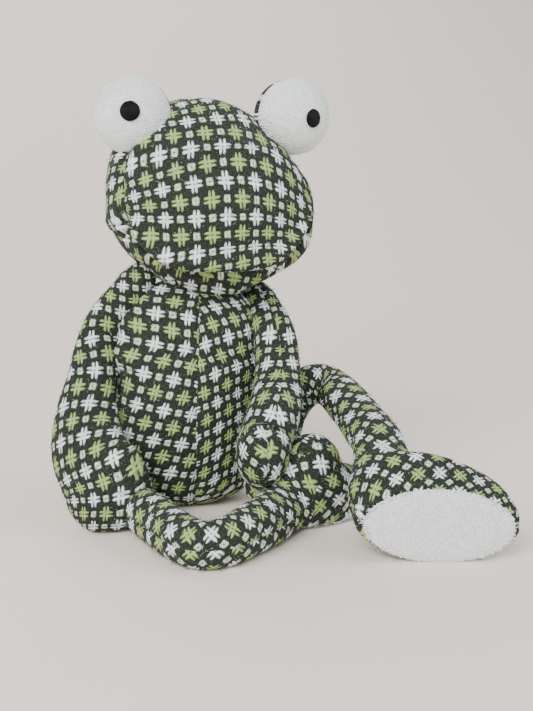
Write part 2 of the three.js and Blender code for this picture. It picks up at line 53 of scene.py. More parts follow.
# The camera stands a little to the frog's right and looks slightly down at it.
# The floor is one pale sheet that curves up behind, and the light is a large soft
# window on the left with a weaker one on the right and an even sky.
CAMERA_AT = Vector((-81.5, -603.24, 194.0)) * MM
CAMERA_LOOK = Vector((0.20463, 0.96269, -0.17708))
CAMERA_LENS = 72.13

camera_data = bpy.data.cameras.new("photo_camera")
camera_data.sensor_fit = "HORIZONTAL"
camera_data.sensor_width = 36
camera_data.lens = CAMERA_LENS
camera = bpy.data.objects.new("photo_camera", camera_data)
camera.location = CAMERA_AT
camera.rotation_euler = CAMERA_LOOK.to_track_quat("-Z", "Y").to_euler()
scene.collection.objects.link(camera)
scene.camera = camera


def add_object(name, mesh_form, smooth=True):
    """A mesh object from a bmesh that was shaped in millimetres."""
    bmesh.ops.scale(mesh_form, vec=(MM, MM, MM), verts=mesh_form.verts)
    mesh = bpy.data.meshes.new(name)
    mesh_form.to_mesh(mesh)
    mesh_form.free()
    mesh.polygons.foreach_set("use_smooth", [smooth] * len(mesh.polygons))
    made = bpy.data.objects.new(name, mesh)
    scene.collection.objects.link(made)
    return made


FLOOR_HALF = 2500
FLOOR_FLAT_TO = 500
FLOOR_BEND = 0.00055
floor_form = bmesh.new()
bmesh.ops.create_grid(floor_form, x_segments=1, y_segments=40, size=FLOOR_HALF)
for corner in floor_form.verts:
    behind = max(0.0, corner.co.y - FLOOR_FLAT_TO)
    corner.co.z = FLOOR_BEND * behind * behind
floor = add_object("floor", floor_form)
floor_material = bpy.data.materials.new("pale_floor")
floor_material.use_nodes = True
floor_shader = floor_material.node_tree.nodes["Principled BSDF"]
floor_shader.inputs["Base Color"].default_value = (0.92, 0.85, 0.77, 1)
floor_shader.inputs["Roughness"].default_value = 0.9
floor.data.materials.append(floor_material)


def add_window(name, place, aim, size, power, colour):
    """A large soft lamp that faces the frog."""
    lamp = bpy.data.lights.new(name, "AREA")
    lamp.shape = "RECTANGLE"
    lamp.size, lamp.size_y = size
    lamp.energy = power
    lamp.color = colour
    holder = bpy.data.objects.new(name, lamp)
    holder.location = place
    holder.rotation_euler = (Vector(aim) - Vector(place)).to_track_quat("-Z", "Y").to_euler()
    scene.collection.objects.link(holder)


add_window("front_window", (-0.9, -1.3, 1.15), (0, 0, 0.1), (1.3, 1.0), 45, (1.0, 0.98, 0.96))
add_window("side_window", (1.3, -0.5, 0.9), (0, 0, 0.1), (1.0, 1.0), 10, (0.92, 0.96, 1.0))
add_window("back_window", (-0.2, 1.3, 1.4), (0, 0, 0.1), (1.4, 0.8), 13, (1.0, 0.97, 0.93))
world = bpy.data.worlds.new("even_sky")
world.use_nodes = True
world.node_tree.nodes["Background"].inputs["Color"].default_value = (0.95, 0.97, 1.0, 1)
world.node_tree.nodes["Background"].inputs["Strength"].default_value = 0.52
scene.world = world

# The check cloth is a coarse woollen weave on a dark green ground. Pairs of white and
# of light green yarns cross it, eight yarns to a repeat, and float over it as crosses
# where like meets like and as small squares where the two colours meet.
WEAVE_REPEAT = (16.9, 19.4)
YARN_OFFSET = 0.062
YARN_HALF_WIDTH = 0.053
LONG_FLOAT_HALF = 0.275
SHORT_FLOAT_HALF = 0.125
YARN_SWAY = 0.085
GROUND_DARK = (0.005, 0.010, 0.008, 1)
GROUND_LIGHT = (0.026, 0.036, 0.027, 1)
GROUND_FIBRE = (0.150, 0.180, 0.140, 1)
WHITE_YARN = (0.880, 0.930, 0.950, 1)
GREEN_YARN = (0.385, 0.520, 0.195, 1)


def sums(tree):
    """A short way to write arithmetic as nodes."""
    def work(operation, *values, clamp=False):
        step = tree.nodes.new("ShaderNodeMath")
        step.operation = operation
        step.use_clamp = clamp
        for socket, value in zip(step.inputs, values):
            if isinstance(value, (int, float)):
                socket.default_value = value
            else:
                tree.links.new(value, socket)
        return step.outputs[0]
    return work


def new_group(name, inputs, outputs):
    """An empty shader node group with named sockets."""
    group = bpy.data.node_groups.new(name, "ShaderNodeTree")
    for label, kind in inputs:
        group.interface.new_socket(label, in_out="INPUT", socket_type=kind)
    for label, kind in outputs:
        group.interface.new_socket(label, in_out="OUTPUT", socket_type=kind)
    return group, group.nodes.new("NodeGroupInput"), group.nodes.new("NodeGroupOutput")


def add_noise(tree, place, scale, detail=2.0, roughness=0.5, colour=False):
    """A noise texture read at the given place."""
    texture = tree.nodes.new("ShaderNodeTexNoise")
    texture.inputs["Scale"].default_value = scale
    texture.inputs["Detail"].default_value = detail
    texture.inputs["Roughness"].default_value = roughness
    tree.links.new(place, texture.inputs["Vector"])
    return texture.outputs["Color" if colour else "Fac"]


def vector_work(tree, operation, first, second, scale=None):
    """One vector operation as a node."""
    step = tree.nodes.new("ShaderNodeVectorMath")
    step.operation = operation
    for socket, value in ((step.inputs[0], first), (step.inputs[1], second)):
        if isinstance(value, tuple):
            socket.default_value = value
        elif value is not None:
            tree.links.new(value, socket)
    if scale is not None:
        step.inputs["Scale"].default_value = scale
    return step.outputs[0]


def build_check_weave():
    """Masks and height of the check weave. The place is counted in repeats."""
    group, given, result = new_group(
        "check_weave",
        [("Place", "NodeSocketVector")],
        [(label, "NodeSocketFloat")
         for label in ("Yarn", "Green", "Height", "Round", "Streak", "Fibre", "Patch")],
    )
    work = sums(group)
    place = given.outputs["Place"]
    sway = add_noise(group, place, 2.6, detail=2.0, colour=True)
    sway = vector_work(group, "SUBTRACT", sway, (0.5, 0.5, 0.5))
    sway = vector_work(group, "SCALE", sway, None, scale=YARN_SWAY)
    swayed = vector_work(group, "ADD", place, sway)
    split = group.nodes.new("ShaderNodeSeparateXYZ")
    group.links.new(swayed, split.inputs[0])
    across, along = split.outputs[0], split.outputs[1]

    def yarn_pair(own, other):
        """Colour and float shape of the yarns that lie side by side along their own way."""
        colour_side = work("GREATER_THAN", work("PINGPONG", own, 0.5), 0.25)
        offset = work("ABSOLUTE", work("SUBTRACT", work("PINGPONG", own, 0.25), YARN_OFFSET))
        thinning = work("POWER", work("DIVIDE", offset, YARN_HALF_WIDTH), 2.0)
        run = work("PINGPONG", other, 0.5)
        run = work("ABSOLUTE", work("SUBTRACT", run, work("MULTIPLY", colour_side, 0.5)))
        long_float = work("POWER", work("DIVIDE", run, LONG_FLOAT_HALF), 5.0)
        short_float = work("POWER", work("DIVIDE", work("SUBTRACT", 0.5, run), SHORT_FLOAT_HALF), 2.0)
        taper = work("ADD", work("MINIMUM", long_float, short_float), thinning)
        mingled = work("MULTIPLY", work("GREATER_THAN", run, 0.34), work("SUBTRACT", 0.5, colour_side))
        return work("ADD", colour_side, work("MULTIPLY", mingled, 0.6)), work("SUBTRACT", 1.0, taper)

    warp_side, warp_shape = yarn_pair(across, along)
    weft_side, weft_shape = yarn_pair(along, across)
    over = work("MULTIPLY",
                work("SINE", work("MULTIPLY", across, 4 * math.pi)),
                work("SINE", work("MULTIPLY", along, 4 * math.pi)))
    over = work("MULTIPLY", over, 0.9)
    warp_top = work("ADD", warp_shape, over)
    weft_top = work("SUBTRACT", weft_shape, over)
    warp_wins = work("GREATER_THAN", warp_top, weft_top)
    shape = work("MAXIMUM", warp_shape, weft_shape)
    winner_side = work("ADD",
                       work("MULTIPLY", warp_side, warp_wins),
                       work("MULTIPLY", weft_side, work("SUBTRACT", 1.0, warp_wins)))

    ragged = add_noise(group, place, 17.0, detail=3.0, roughness=0.7)
    ragged = work("MULTIPLY", work("SUBTRACT", ragged, 0.5), 2.3)
    shown = work("MULTIPLY", work("ADD", work("ADD", shape, ragged), 0.06), 4.0, clamp=True)
    group.links.new(shown, result.inputs["Yarn"])
    group.links.new(winner_side, result.inputs["Green"])

    warp_place = vector_work(group, "MULTIPLY", swayed, (60.0, 7.0, 1.0))
    weft_place = vector_work(group, "MULTIPLY", swayed, (7.0, 60.0, 1.0))
    warp_streak = add_noise(group, warp_place, 1.0, detail=1.0)
    weft_streak = add_noise(group, weft_place, 1.0, detail=1.0)
    streak = work("ADD",
                  work("MULTIPLY", warp_streak, warp_wins),
                  work("MULTIPLY", weft_streak, work("SUBTRACT", 1.0, warp_wins)))
    group.links.new(streak, result.inputs["Streak"])

    ground = work("MULTIPLY",
                  work("SINE", work("MULTIPLY", across, 8 * math.pi)),
                  work("SINE", work("MULTIPLY", along, 8 * math.pi)))
    ground = work("MULTIPLY_ADD", ground, 0.14, 0.2)
    raised = work("POWER", work("MAXIMUM", shape, 0.0), 0.5)
    group.links.new(raised, result.inputs["Round"])
    winner_rise = work("MULTIPLY", work("ABSOLUTE", over), 0.25)
    yarn_height = work("MULTIPLY", shown, work("ADD", work("MULTIPLY", raised, 0.75), winner_rise))
    rough = work("MULTIPLY", add_noise(group, place, 38.0, detail=3.0), 0.22)
    rough = work("ADD", rough, work("MULTIPLY", streak, 0.12))
    group.links.new(work("ADD", work("ADD", ground, yarn_height), rough), result.inputs["Height"])

    curls = add_noise(group, place, 26.0, detail=5.0, roughness=0.8)
    curls = work("MULTIPLY", work("SUBTRACT", curls, 0.53), 7.0, clamp=True)
    group.links.new(curls, result.inputs["Fibre"])
    group.links.new(add_noise(group, place, 7.0, detail=3.0), result.inputs["Patch"])
    return group


check_weave = build_check_weave()


def mix_colours(tree, factor, first, second, blend="MIX"):
    """A colour mix as a node, from colours or sockets."""
    step = tree.nodes.new("ShaderNodeMix")
    step.data_type = "RGBA"
    step.blend_type = blend
    factor_socket, first_socket, second_socket = step.inputs[0], step.inputs[6], step.inputs[7]
    for socket, value in ((factor_socket, factor), (first_socket, first), (second_socket, second)):
        if isinstance(value, (float, int, tuple)):
            socket.default_value = value
        else:
            tree.links.new(value, socket)
    return step.outputs[2]


def new_cloth_material(name, sheen, rough):
    """A fabric material with its shader, ready for colour and bump."""
    material = bpy.data.materials.new(name)
    material.use_nodes = True
    tree = material.node_tree
    shader = tree.nodes["Principled BSDF"]
    shader.inputs["Roughness"].default_value = rough
    shader.inputs["Specular IOR Level"].default_value = 0.2
    shader.inputs["Sheen Weight"].default_value = sheen
    shader.inputs["Sheen Roughness"].default_value = 0.5
    return material, tree, shader


def add_bump(tree, shader, height, strength, depth):
    """Turns a height into the shader's normal."""
    bump = tree.nodes.new("ShaderNodeBump")
    bump.inputs["Strength"].default_value = strength
    bump.inputs["Distance"].default_value = depth
    tree.links.new(height, bump.inputs["Height"])
    tree.links.new(bump.outputs["Normal"], shader.inputs["Normal"])


def add_weave(tree, group):
    """A weave read through the cloth layout: the group's node and the layout's socket."""
    layout = tree.nodes.new("ShaderNodeUVMap")
    layout.uv_map = "cloth"
    weave = tree.nodes.new("ShaderNodeGroup")
    weave.node_tree = group
    tree.links.new(layout.outputs["UV"], weave.inputs["Place"])
    return weave, layout.outputs["UV"]


def make_check_cloth():
    material, tree, shader = new_cloth_material("check_cloth", 0.04, 0.95)
    weave = add_weave(tree, check_weave)[0]
    ground = mix_colours(tree, weave.outputs["Patch"], GROUND_DARK, GROUND_LIGHT)
    ground = mix_colours(tree, weave.outputs["Fibre"], ground, GROUND_FIBRE)
    work = sums(tree)
    yarn = mix_colours(tree, weave.outputs["Green"], WHITE_YARN, GREEN_YARN)
    # The yarn colour is painted darker towards each yarn's edges and lighter on its crown, from its raised
    # profile: painted shade between the yarns. Streaks along the fibres and slow patches vary its tone as
    # well.
    yarn_shade_and_tone = work("MULTIPLY_ADD", weave.outputs["Round"], 0.55, 0.5)
    yarn_shade_and_tone = work("MULTIPLY", yarn_shade_and_tone, work("MULTIPLY_ADD", weave.outputs["Streak"], 0.9, 0.55))
    yarn_shade_and_tone = work("MULTIPLY", yarn_shade_and_tone, work("MULTIPLY_ADD", weave.outputs["Patch"], 0.9, 0.56))
    yarn = mix_colours(tree, 1.0, yarn, yarn_shade_and_tone, blend="MULTIPLY")
    colour = mix_colours(tree, weave.outputs["Yarn"], ground, yarn)
    tree.links.new(colour, shader.inputs["Base Color"])
    add_bump(tree, shader, weave.outputs["Height"], 1.0, 0.0014)
    return material


check_cloth = make_check_cloth()

# The body is a stuffed bag with pellets in the seat. Its front is two panels sewn down
# the middle, its back is one, and the side seams run up to the neck, which is tucked
# into the head.
SEAT_SQUASH = 0.5
BODY_HEIGHT = 128
BODY_WIDTH = 84
BODY_DEPTH = 70
BODY_LEAN = 5
BODY_GIRTH = 235
SHOULDER_FULLNESS = 9.0
NECK_WIDTH = 64
FORWARD = Vector((0, -1, 0))


class Course:
    """A smooth line through points, read by the distance along it."""
    STEPS = 80

    def __init__(self, points):
        ends = [2 * points[0] - points[1], *points, 2 * points[-1] - points[-2]]
        self.places = []
        for a, b, c, d in zip(ends, ends[1:], ends[2:], ends[3:]):
            before, along, after = ((q - p).length ** 0.5 for p, q in ((a, b), (b, c), (c, d)))
            leave = ((b - a) / before - (c - a) / (before + along) + (c - b) / along) * along
            reach = ((c - b) / along - (d - b) / (along + after) + (d - c) / after) * along
            self.places += geometry.interpolate_bezier(b, b + leave / 3, c - reach / 3, c, self.STEPS)[:-1]
        self.places.append(points[-1].copy())
        self.marks = [0.0]
        for here, there in zip(self.places, self.places[1:]):
            self.marks.append(self.marks[-1] + (there - here).length)
        self.length = self.marks[-1]

    def at(self, distance):
        """The place and the heading there; the line runs on straight past its ends."""
        step = min(max(bisect.bisect(self.marks, distance) - 1, 0), len(self.places) - 2)
        heading = (self.places[step + 1] - self.places[step]).normalized()
        return self.places[step] + heading * (distance - self.marks[step]), heading


def profile(shares, steps=400):
    """A smooth run through (place, value) pairs, kept as a table."""
    run = Course([Vector((place, value, 0)) for place, value in shares])

    def value(place):
        found = bisect.bisect_left([p.x for p in run.places], place)
        step = min(max(found, 1), len(run.places) - 1)
        before, after = run.places[step - 1], run.places[step]
        part = (place - before.x) / ((after.x - before.x) or 1)
        return before.y + (after.y - before.y) * min(max(part, 0), 1)
    table = [value(k / steps) for k in range(steps + 1)]
    return lambda place: table[min(max(round(place * steps), 0), steps)]


def smoothstep(value, low, high):
    """0 up to the low value, 1 from the high one, and smooth between them."""
    part = min(max((value - low) / (high - low), 0), 1)
    return part * part * (3 - 2 * part)


def rounding(distance, length):
    """The round end of a form: 0 at its tip, 1 from the given length on."""
    rest = 1 - min(distance / length, 1)
    return math.sqrt(max(0.0, 1 - rest * rest))


def surface(form):
    """Places on elliptical rings along a line, by share of the way along and of the turn."""
    line, grow = form["line"], form.get("grow", 0)
    first = -form["start_reach"] - grow
    last = line.length + form["end_reach"] + grow

    def place(part, turn):
        part -= form.get("crowd", 0.85) * math.sin(2 * math.pi * part) / (2 * math.pi)
        along = first + (last - first) * part
        distance = min(max(along, 0), line.length)
        share = distance / line.length
        centre, heading = line.at(distance)
        heading = form.get("way") or heading
        centre = centre + heading * (along - distance)
        side = heading.cross(form["facing"]).normalized()
        front = side.cross(heading).normalized()
        round_off = (rounding(along - first, form["start_round"] + grow)
                     * rounding(last - along, form["end_round"] + grow))
        angle = 2 * math.pi * turn
        relief = form["relief"](share, math.degrees(angle), along) if "relief" in form else 0
        half_width = (form["width"](share) / 2 + grow + relief) * round_off
        half_depth = (form["depth"](share) / 2 + grow + relief) * round_off
        return centre + side * half_width * math.cos(angle) + front * half_depth * math.sin(angle)
    return place


def bag_mesh(place, sides, rings):
    """A closed bmesh on a surface, with its knots by ring and turn."""
    shaped = bmesh.new()
    bmesh.ops.create_uvsphere(shaped, u_segments=sides, v_segments=rings, radius=1)
    knots = {}
    for knot in shaped.verts:
        ring = round(math.acos(min(max(knot.co.z, -1), 1)) / math.pi * rings)
        turn = round(math.atan2(knot.co.y, knot.co.x) / (2 * math.pi) * sides) % sides
        turn = 0 if ring in (0, rings) else turn
        knots[ring, turn] = knot
    for (ring, turn), knot in knots.items():
        knot.co = place(ring / rings, turn / sides)
    return shaped, knots


BAG_SIDES = 48
BAG_RINGS = 48
SWELL_START = -0.5
SWELL_FRAMES = 20
SWELL_PRESSURE = 40


def swollen(form):
    """Blows the bag up as cloth whose seams are drawn tight, and tells how far each place moved."""
    bag, knots = bag_mesh(surface({**form, "relief": form["slump"]}), BAG_SIDES, BAG_RINGS)
    order = {key: knot.index for key, knot in knots.items()}
    starts = {key: knot.co.copy() for key, knot in knots.items()}
    cloth = add_object("bag", bag)
    tight = cloth.vertex_groups.new(name="seams")
    for seam in form["seams"]:
        turn = round(seam / 360 * BAG_SIDES) % BAG_SIDES
        tight.add([order[ring, turn] for ring in range(1, BAG_RINGS)], 1.0, "REPLACE")
    blown = cloth.modifiers.new("stuffing", "CLOTH")
    blown.settings.quality = 4
    blown.settings.mass = 0.3
    blown.settings.tension_stiffness = 5
    blown.settings.compression_stiffness = 5
    blown.settings.bending_stiffness = 0.3
    blown.settings.use_pressure = True
    blown.settings.uniform_pressure_force = SWELL_PRESSURE
    blown.settings.effector_weights.gravity = 0
    blown.settings.vertex_group_shrink = "seams"
    blown.settings.shrink_min = -form["ease"]
    for moment in range(1, SWELL_FRAMES + 1):
        scene.frame_set(moment)
    settled = cloth.evaluated_get(bpy.context.evaluated_depsgraph_get()).data.vertices
    moves = {}
    for key, number in order.items():
        move = settled[number].co / MM - starts[key]
        moves[key] = move * min(1, form["cap"] / max(move.length, 0.001))
    bpy.data.objects.remove(cloth)
    scene.frame_set(1)

    def moved(part, turn):
        ring, spin = part * BAG_RINGS, turn * BAG_SIDES
        low, left = min(int(ring), BAG_RINGS - 1), int(spin)

        def at(row, column):
            return moves[row, 0 if row in (0, BAG_RINGS) else column % BAG_SIDES]
        before = at(low, left).lerp(at(low, left + 1), spin - left)
        after = at(low + 1, left).lerp(at(low + 1, left + 1), spin - left)
        return before.lerp(after, ring - low)
    return moved


def stuffed_form(form):
    """A stuffed bag: its surface, swollen by the simulation, with its panels laid out as cloth."""
    sides, rings = form["sides"], form["rings"]
    form["grow"] = form.get("grow", 0) + SWELL_START
    plain = surface(form)
    swell = swollen(form)
    shaped, knots = bag_mesh(lambda part, turn: plain(part, turn) + swell(part, turn), sides, rings)
    lay_out(shaped, form, knots, {knot: key for key, knot in knots.items()})
    return shaped


def draped(shift, slant=0):
    """Cloth laid flat with a shift and a slant: millimetres on the panel to places in repeats."""
    turned = Matrix.Rotation(math.radians(slant), 2)

    def place(across, along):
        flat = turned @ Vector((across, along)) + Vector(shift)
        return flat.x / WEAVE_REPEAT[0], flat.y / WEAVE_REPEAT[1]
    return place


POWERS = ((0, 0), (1, 0), (0, 1), (2, 0), (1, 1), (0, 2), (3, 0), (2, 1), (1, 2), (0, 3))
DRAPE_UNIT = 50


def pulled(across_run, along_run, sideways, lengthways):
    """Cloth pulled out of true by its stuffing: power series over its reach, straight beyond it."""
    def run(factors, x, y):
        return sum(factor * x ** a * y ** b for factor, (a, b) in zip(factors, POWERS))

    def place(across, along):
        x = min(max(across, sideways[0]), sideways[1]) / DRAPE_UNIT
        y = min(max(along, lengthways[0]), lengthways[1]) / DRAPE_UNIT
        past_x, past_y = across / DRAPE_UNIT - x, along / DRAPE_UNIT - y
        step = 0.01
        found = []
        for factors in (across_run, along_run):
            here = run(factors, x, y)
            slope_x = (run(factors, x + step, y) - here) / step
            slope_y = (run(factors, x, y + step) - here) / step
            found.append(here + slope_x * past_x + slope_y * past_y)
        return found
    return place


def lay_out(shaped, form, knots, spots):
    """Lays each panel flat: across from its middle line, and along the form."""
    sides, rings = form["sides"], form["rings"]
    layer = shaped.loops.layers.uv.new("cloth")

    def heights(panel):
        """Lengths along a panel's middle, or along the outside of the bends where the form gathers."""
        middle = round((panel["from"] + panel["to"]) / 720 * sides) % sides
        run = [0.0]
        for ring in range(rings):
            steps = [(knots[ring + 1, turn if ring + 1 < rings else 0].co
                      - knots[ring, turn if ring else 0].co).length
                     for turn in (range(sides) if form.get("gathers") else [middle])]
            run.append(run[-1] + max(steps))
        return run

    shared = heights(form["panels"][0])
    height = [heights(panel) if panel["apart"] else shared for panel in form["panels"]]
    girth = {}
    for ring in range(1, rings):
        run = [0.0]
        for turn in range(2 * sides):
            here, there = knots[ring, turn % sides], knots[ring, (turn + 1) % sides]
            run.append(run[-1] + (there.co - here.co).length)
        girth[ring] = run

    def arc(ring, turn):
        low = int(turn)
        run = girth[min(max(ring, 1), rings - 1)]
        return run[low] + (run[low + 1] - run[low]) * (turn - low)

    for face in shaped.faces:
        turns = [spots[knot][1] for knot in face.verts if 0 < spots[knot][0] < rings]
        if max(turns) - min(turns) > sides / 2:
            turns = [turn + sides if turn < sides / 2 else turn for turn in turns]
        centre = sum(turns) / len(turns)
        number, panel = next((n, p) for n, p in enumerate(form["panels"])
                             if (centre * 360 / sides - p["from"]) % 360 < p["to"] - p["from"])
        start, stop = panel["from"] / 360 * sides, panel["to"] / 360 * sides
        centre = start + (centre - start) % sides
        for loop in face.loops:
            ring, turn = spots[loop.vert]
            near = centre + (turn - centre + sides / 2) % sides - sides / 2
            across = arc(ring, centre if ring in (0, rings) else near) - arc(ring, (start + stop) / 2)
            loop[layer].uv = panel["drape"](across, height[number][ring])


def sewn_line(angle, seam, width, depth, girth_mm):
    """How far a seam pulls the cloth in near its line."""
    off = abs((angle - seam + 180) % 360 - 180) / 360 * girth_mm
    return -depth * math.exp(-(off / width) ** 2)


def pucker(along, angle, seam, girth_mm, strength=0.3):
    """Small gathers beside a seam."""
    off = abs((angle - seam + 180) % 360 - 180) / 360 * girth_mm
    return strength * math.exp(-(off / 4.5) ** 2) * math.sin(along * 1.1 + seam)


def lumps(share, angle, scale, strength, seed):
    """The slow unevenness of stuffing."""
    turn = math.radians(angle)
    spot = Vector((math.cos(turn) * scale, math.sin(turn) * scale, share * scale * 2 + seed))
    return strength * noise.noise(spot)


def set_down(shaped):
    """Flattens what would hang below the ground."""
    for knot in shaped.verts:
        if knot.co.z < 0:
            knot.co.z = 0


def cloth_panel(start, stop, drape, apart=False):
    """One piece of cloth from seam to seam; one that lies apart is measured along its own middle."""
    return {"from": start, "to": stop, "drape": drape, "apart": apart}


def finish_soft(piece):
    """Check cloth, and one subdivision that smooths the sewn form."""
    piece.data.materials.append(check_cloth)
    rounder = piece.modifiers.new("rounder", "SUBSURF")
    rounder.levels = 1
    rounder.render_levels = 1


def put_on(skin, body, node):
    """Puts a finished skin on one body, in place of the model's node."""
    finish_soft(skin)
    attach(skin, body)
    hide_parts(node)


body_line = Course([Vector((0, 0, -SEAT_SQUASH)), Vector((0, 0, BODY_HEIGHT / 2)),
                    Vector((BODY_LEAN, 0, BODY_HEIGHT))])
NECK_SHARE = 1 - NECK_WIDTH / 2 / BODY_HEIGHT
body_full = profile([(0, 0.86), (0.2, 0.95), (0.45, 1), (0.6, 0.97), (0.7, 0.91), (1, 0.75)])


def body_across(size):
    """The body's width or depth, which narrows to the round neck."""
    def across(share):
        share *= NECK_SHARE
        neck_part = smoothstep(share, 0.65, NECK_SHARE)
        return size * body_full(share) * (1 - neck_part) + NECK_WIDTH * neck_part
    return across


def shoulders(share, angle):
    """The cloth that fills the corner between the body and the arms."""
    beside = max(abs(math.cos(math.radians(angle))) - 0.3, 0) / 0.7
    return SHOULDER_FULLNESS * beside ** 1.5 * smoothstep(share, 0.72, 0.98)


def body_slump(share, angle, along):
    return shoulders(share, angle) + lumps(share, angle, 1.6, 1.3, 3)


def body_relief(share, angle, along):
    return (sewn_line(angle, 90, 1.6, 1.0, BODY_GIRTH) + sewn_line(angle, 0, 2.0, 0.7, BODY_GIRTH)
            + sewn_line(angle, 180, 2.0, 0.7, BODY_GIRTH) + pucker(along, angle, 90, BODY_GIRTH)
            + body_slump(share, angle, along))


neck_place = body_line.at(body_line.length * NECK_SHARE)[0]
trunk_line = Course([Vector((0, 0, -SEAT_SQUASH)), body_line.at(body_line.length * NECK_SHARE / 3)[0],
                     body_line.at(body_line.length * NECK_SHARE * 2 / 3)[0], neck_place])
body_form = stuffed_form({
    "line": trunk_line, "start_reach": 0, "end_reach": NECK_WIDTH / 2,
    "start_round": 18, "end_round": NECK_WIDTH / 2,
    "width": body_across(BODY_WIDTH), "depth": body_across(BODY_DEPTH), "facing": FORWARD,
    "sides": 128, "rings": 96, "relief": body_relief, "slump": body_slump, "seams": (0, 90, 180),
    "ease": 0.04, "cap": 1.5, "grow": 1.3,
    "panels": [
        cloth_panel(90, 180, pulled(
            (2.68, -3.31, -1.54, 0.10, 0.50, -0.19, 0.23, 0.35, -0.06, 0.14),
            (-6.09, -0.08, 3.02, 0.19, -0.14, -0.22, -0.16, -0.01, 0.05, 0.05), (-30, 30), (40, 140))),
        cloth_panel(0, 90, pulled(
            (2.01, -4.28, -0.52, 0.17, 0.26, 0.16), (-8.04, 1.67, 3.78, 0.38, -0.44, -0.16),
            (-10, 30), (40, 150))),
        cloth_panel(180, 360, draped((4.0, 6.0)), apart=True),
    ],
})
set_down(body_form)
body = add_object("body_skin", body_form)
put_on(body, "body", "body_cover")

# Inside the body lie its stuffing and the pellet bag. Both are hidden by the skin and
# keep the simple forms of the model, in plain stuffing fibre.
def make_stuffing_fibre():
    material, tree, shader = new_cloth_material("stuffing_fibre", 0.2, 0.9)
    place = tree.nodes.new("ShaderNodeTexCoord").outputs["Object"]
    wool = add_noise(tree, place, 260.0, detail=5.0, roughness=0.7)
    tree.links.new(mix_colours(tree, wool, (0.72, 0.72, 0.69, 1), (0.93, 0.93, 0.9, 1)),
                   shader.inputs["Base Color"])
    add_bump(tree, shader, wool, 0.8, 0.001)
    return material


stuffing_fibre = make_stuffing_fibre()
for hidden in ("body_filling", "pellet_bag"):
    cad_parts[hidden].data.materials.clear()
    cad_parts[hidden].data.materials.append(stuffing_fibre)

# The head is a stuffed dome. Its face panel folds under at the smile into a rolled upper
# lip, and a side seam runs down in front of each cheek.
HEAD_BASE = neck_place + Vector((14 - neck_place.x, 0, NECK_WIDTH / 2 - 8))
HEAD_HEIGHT = 109
HEAD_WIDTH = 117
HEAD_DEPTH = 97
HEAD_GIRTH = 320
SMILE_LOW = HEAD_BASE.z + 18
SMILE_HALF = 49
SMILE_RISE = 26

HEAD_PLACES = ((0, -0.08, 0), (0, -0.06, 0.4), (-0.035, 0.02, 0.7), (-0.02, 0.02, 1))
head_line = Course([Vector((aside * HEAD_WIDTH, place * HEAD_DEPTH, rise * HEAD_HEIGHT)) + HEAD_BASE
                    for aside, place, rise in HEAD_PLACES])
head_full = profile([(0, 0.7), (0.15, 0.81), (0.3, 0.925), (0.46, 1), (0.62, 0.95), (0.8, 0.88), (1, 0.8)])
SIDE_SEAM_RIGHT = 148
SIDE_SEAM_LEFT = 22
EYE_HOLLOW = 9.0


def head_slump(share, angle, along):
    """The stuffing sinks in below the left eye, and a little on the far side."""
    off = (angle + 180) % 360 - 180
    beside = math.exp(-((off - 4) / 26) ** 2)
    hollow = -EYE_HOLLOW * math.exp(-((along - 66) / 11) ** 2) - 1.2 * math.exp(-((along - 47) / 12) ** 2)
    far_side = -1.3 * math.exp(-((abs(off) - 180) / 40) ** 2)
    return beside * hollow + far_side + lumps(share, angle, 1.3, 1.2, 8)


def head_relief(share, angle, along):
    return (sewn_line(angle, SIDE_SEAM_RIGHT, 2.2, 1.5, HEAD_GIRTH)
            + sewn_line(angle, SIDE_SEAM_LEFT, 2.2, 1.3, HEAD_GIRTH)
            + sewn_line(angle, 270, 2.2, 1.2, HEAD_GIRTH)
            + pucker(along, angle, SIDE_SEAM_RIGHT, HEAD_GIRTH)
            + head_slump(share, angle, along))


def head_solid(grow, sides, rings):
    """The stuffed dome, from which the jaw is cut as well."""
    return {
        "line": head_line, "start_reach": 0, "end_reach": 0, "start_round": 33, "end_round": 42,
        "width": lambda share: HEAD_WIDTH * head_full(share),
        "depth": lambda share: HEAD_DEPTH * head_full(share),
        "facing": FORWARD, "sides": sides, "rings": rings, "grow": grow,
        "relief": head_relief, "slump": head_slump, "seams": (SIDE_SEAM_RIGHT, SIDE_SEAM_LEFT, 270),
        "ease": 0.03, "cap": 2.0,
        "panels": [
            cloth_panel(SIDE_SEAM_LEFT, SIDE_SEAM_RIGHT, pulled(
                (0.68, -3.66, 3.02, 0.17, 0.50, -1.78, 0.01, -0.04, -0.09, 0.31),
                (-6.86, 3.64, 5.67, -0.37, -4.21, -1.45, -0.36, 0.43, 1.14, 0.21), (-50, 54), (50, 140))),
            cloth_panel(SIDE_SEAM_RIGHT, 270, draped((5.0, 7.0)), apart=True),
            cloth_panel(270, 360 + SIDE_SEAM_LEFT, draped((2.0, 3.0)), apart=True),
        ],
    }


def above_smile(place):
    """How far a place on the face is above the smile, and how near the mouth's middle it is."""
    aside = abs(place.x - HEAD_BASE.x)
    height = place.z - SMILE_LOW - SMILE_RISE * min(aside / SMILE_HALF, 1.15) ** 4
    inside = 0 if place.y > 0 else 1 - smoothstep(aside, SMILE_HALF - 3, SMILE_HALF + 5)
    return height, inside


def shift(moves):
    """Moves the knots, once every move has been measured."""
    for knot, move in moves:
        knot.co += move


LIP_ROLL = 4.4
LIP_TUCK = 12
DART_DEPTH = 3.5
DART_PLACE = Vector((-31.0, -30.0, 166.0))


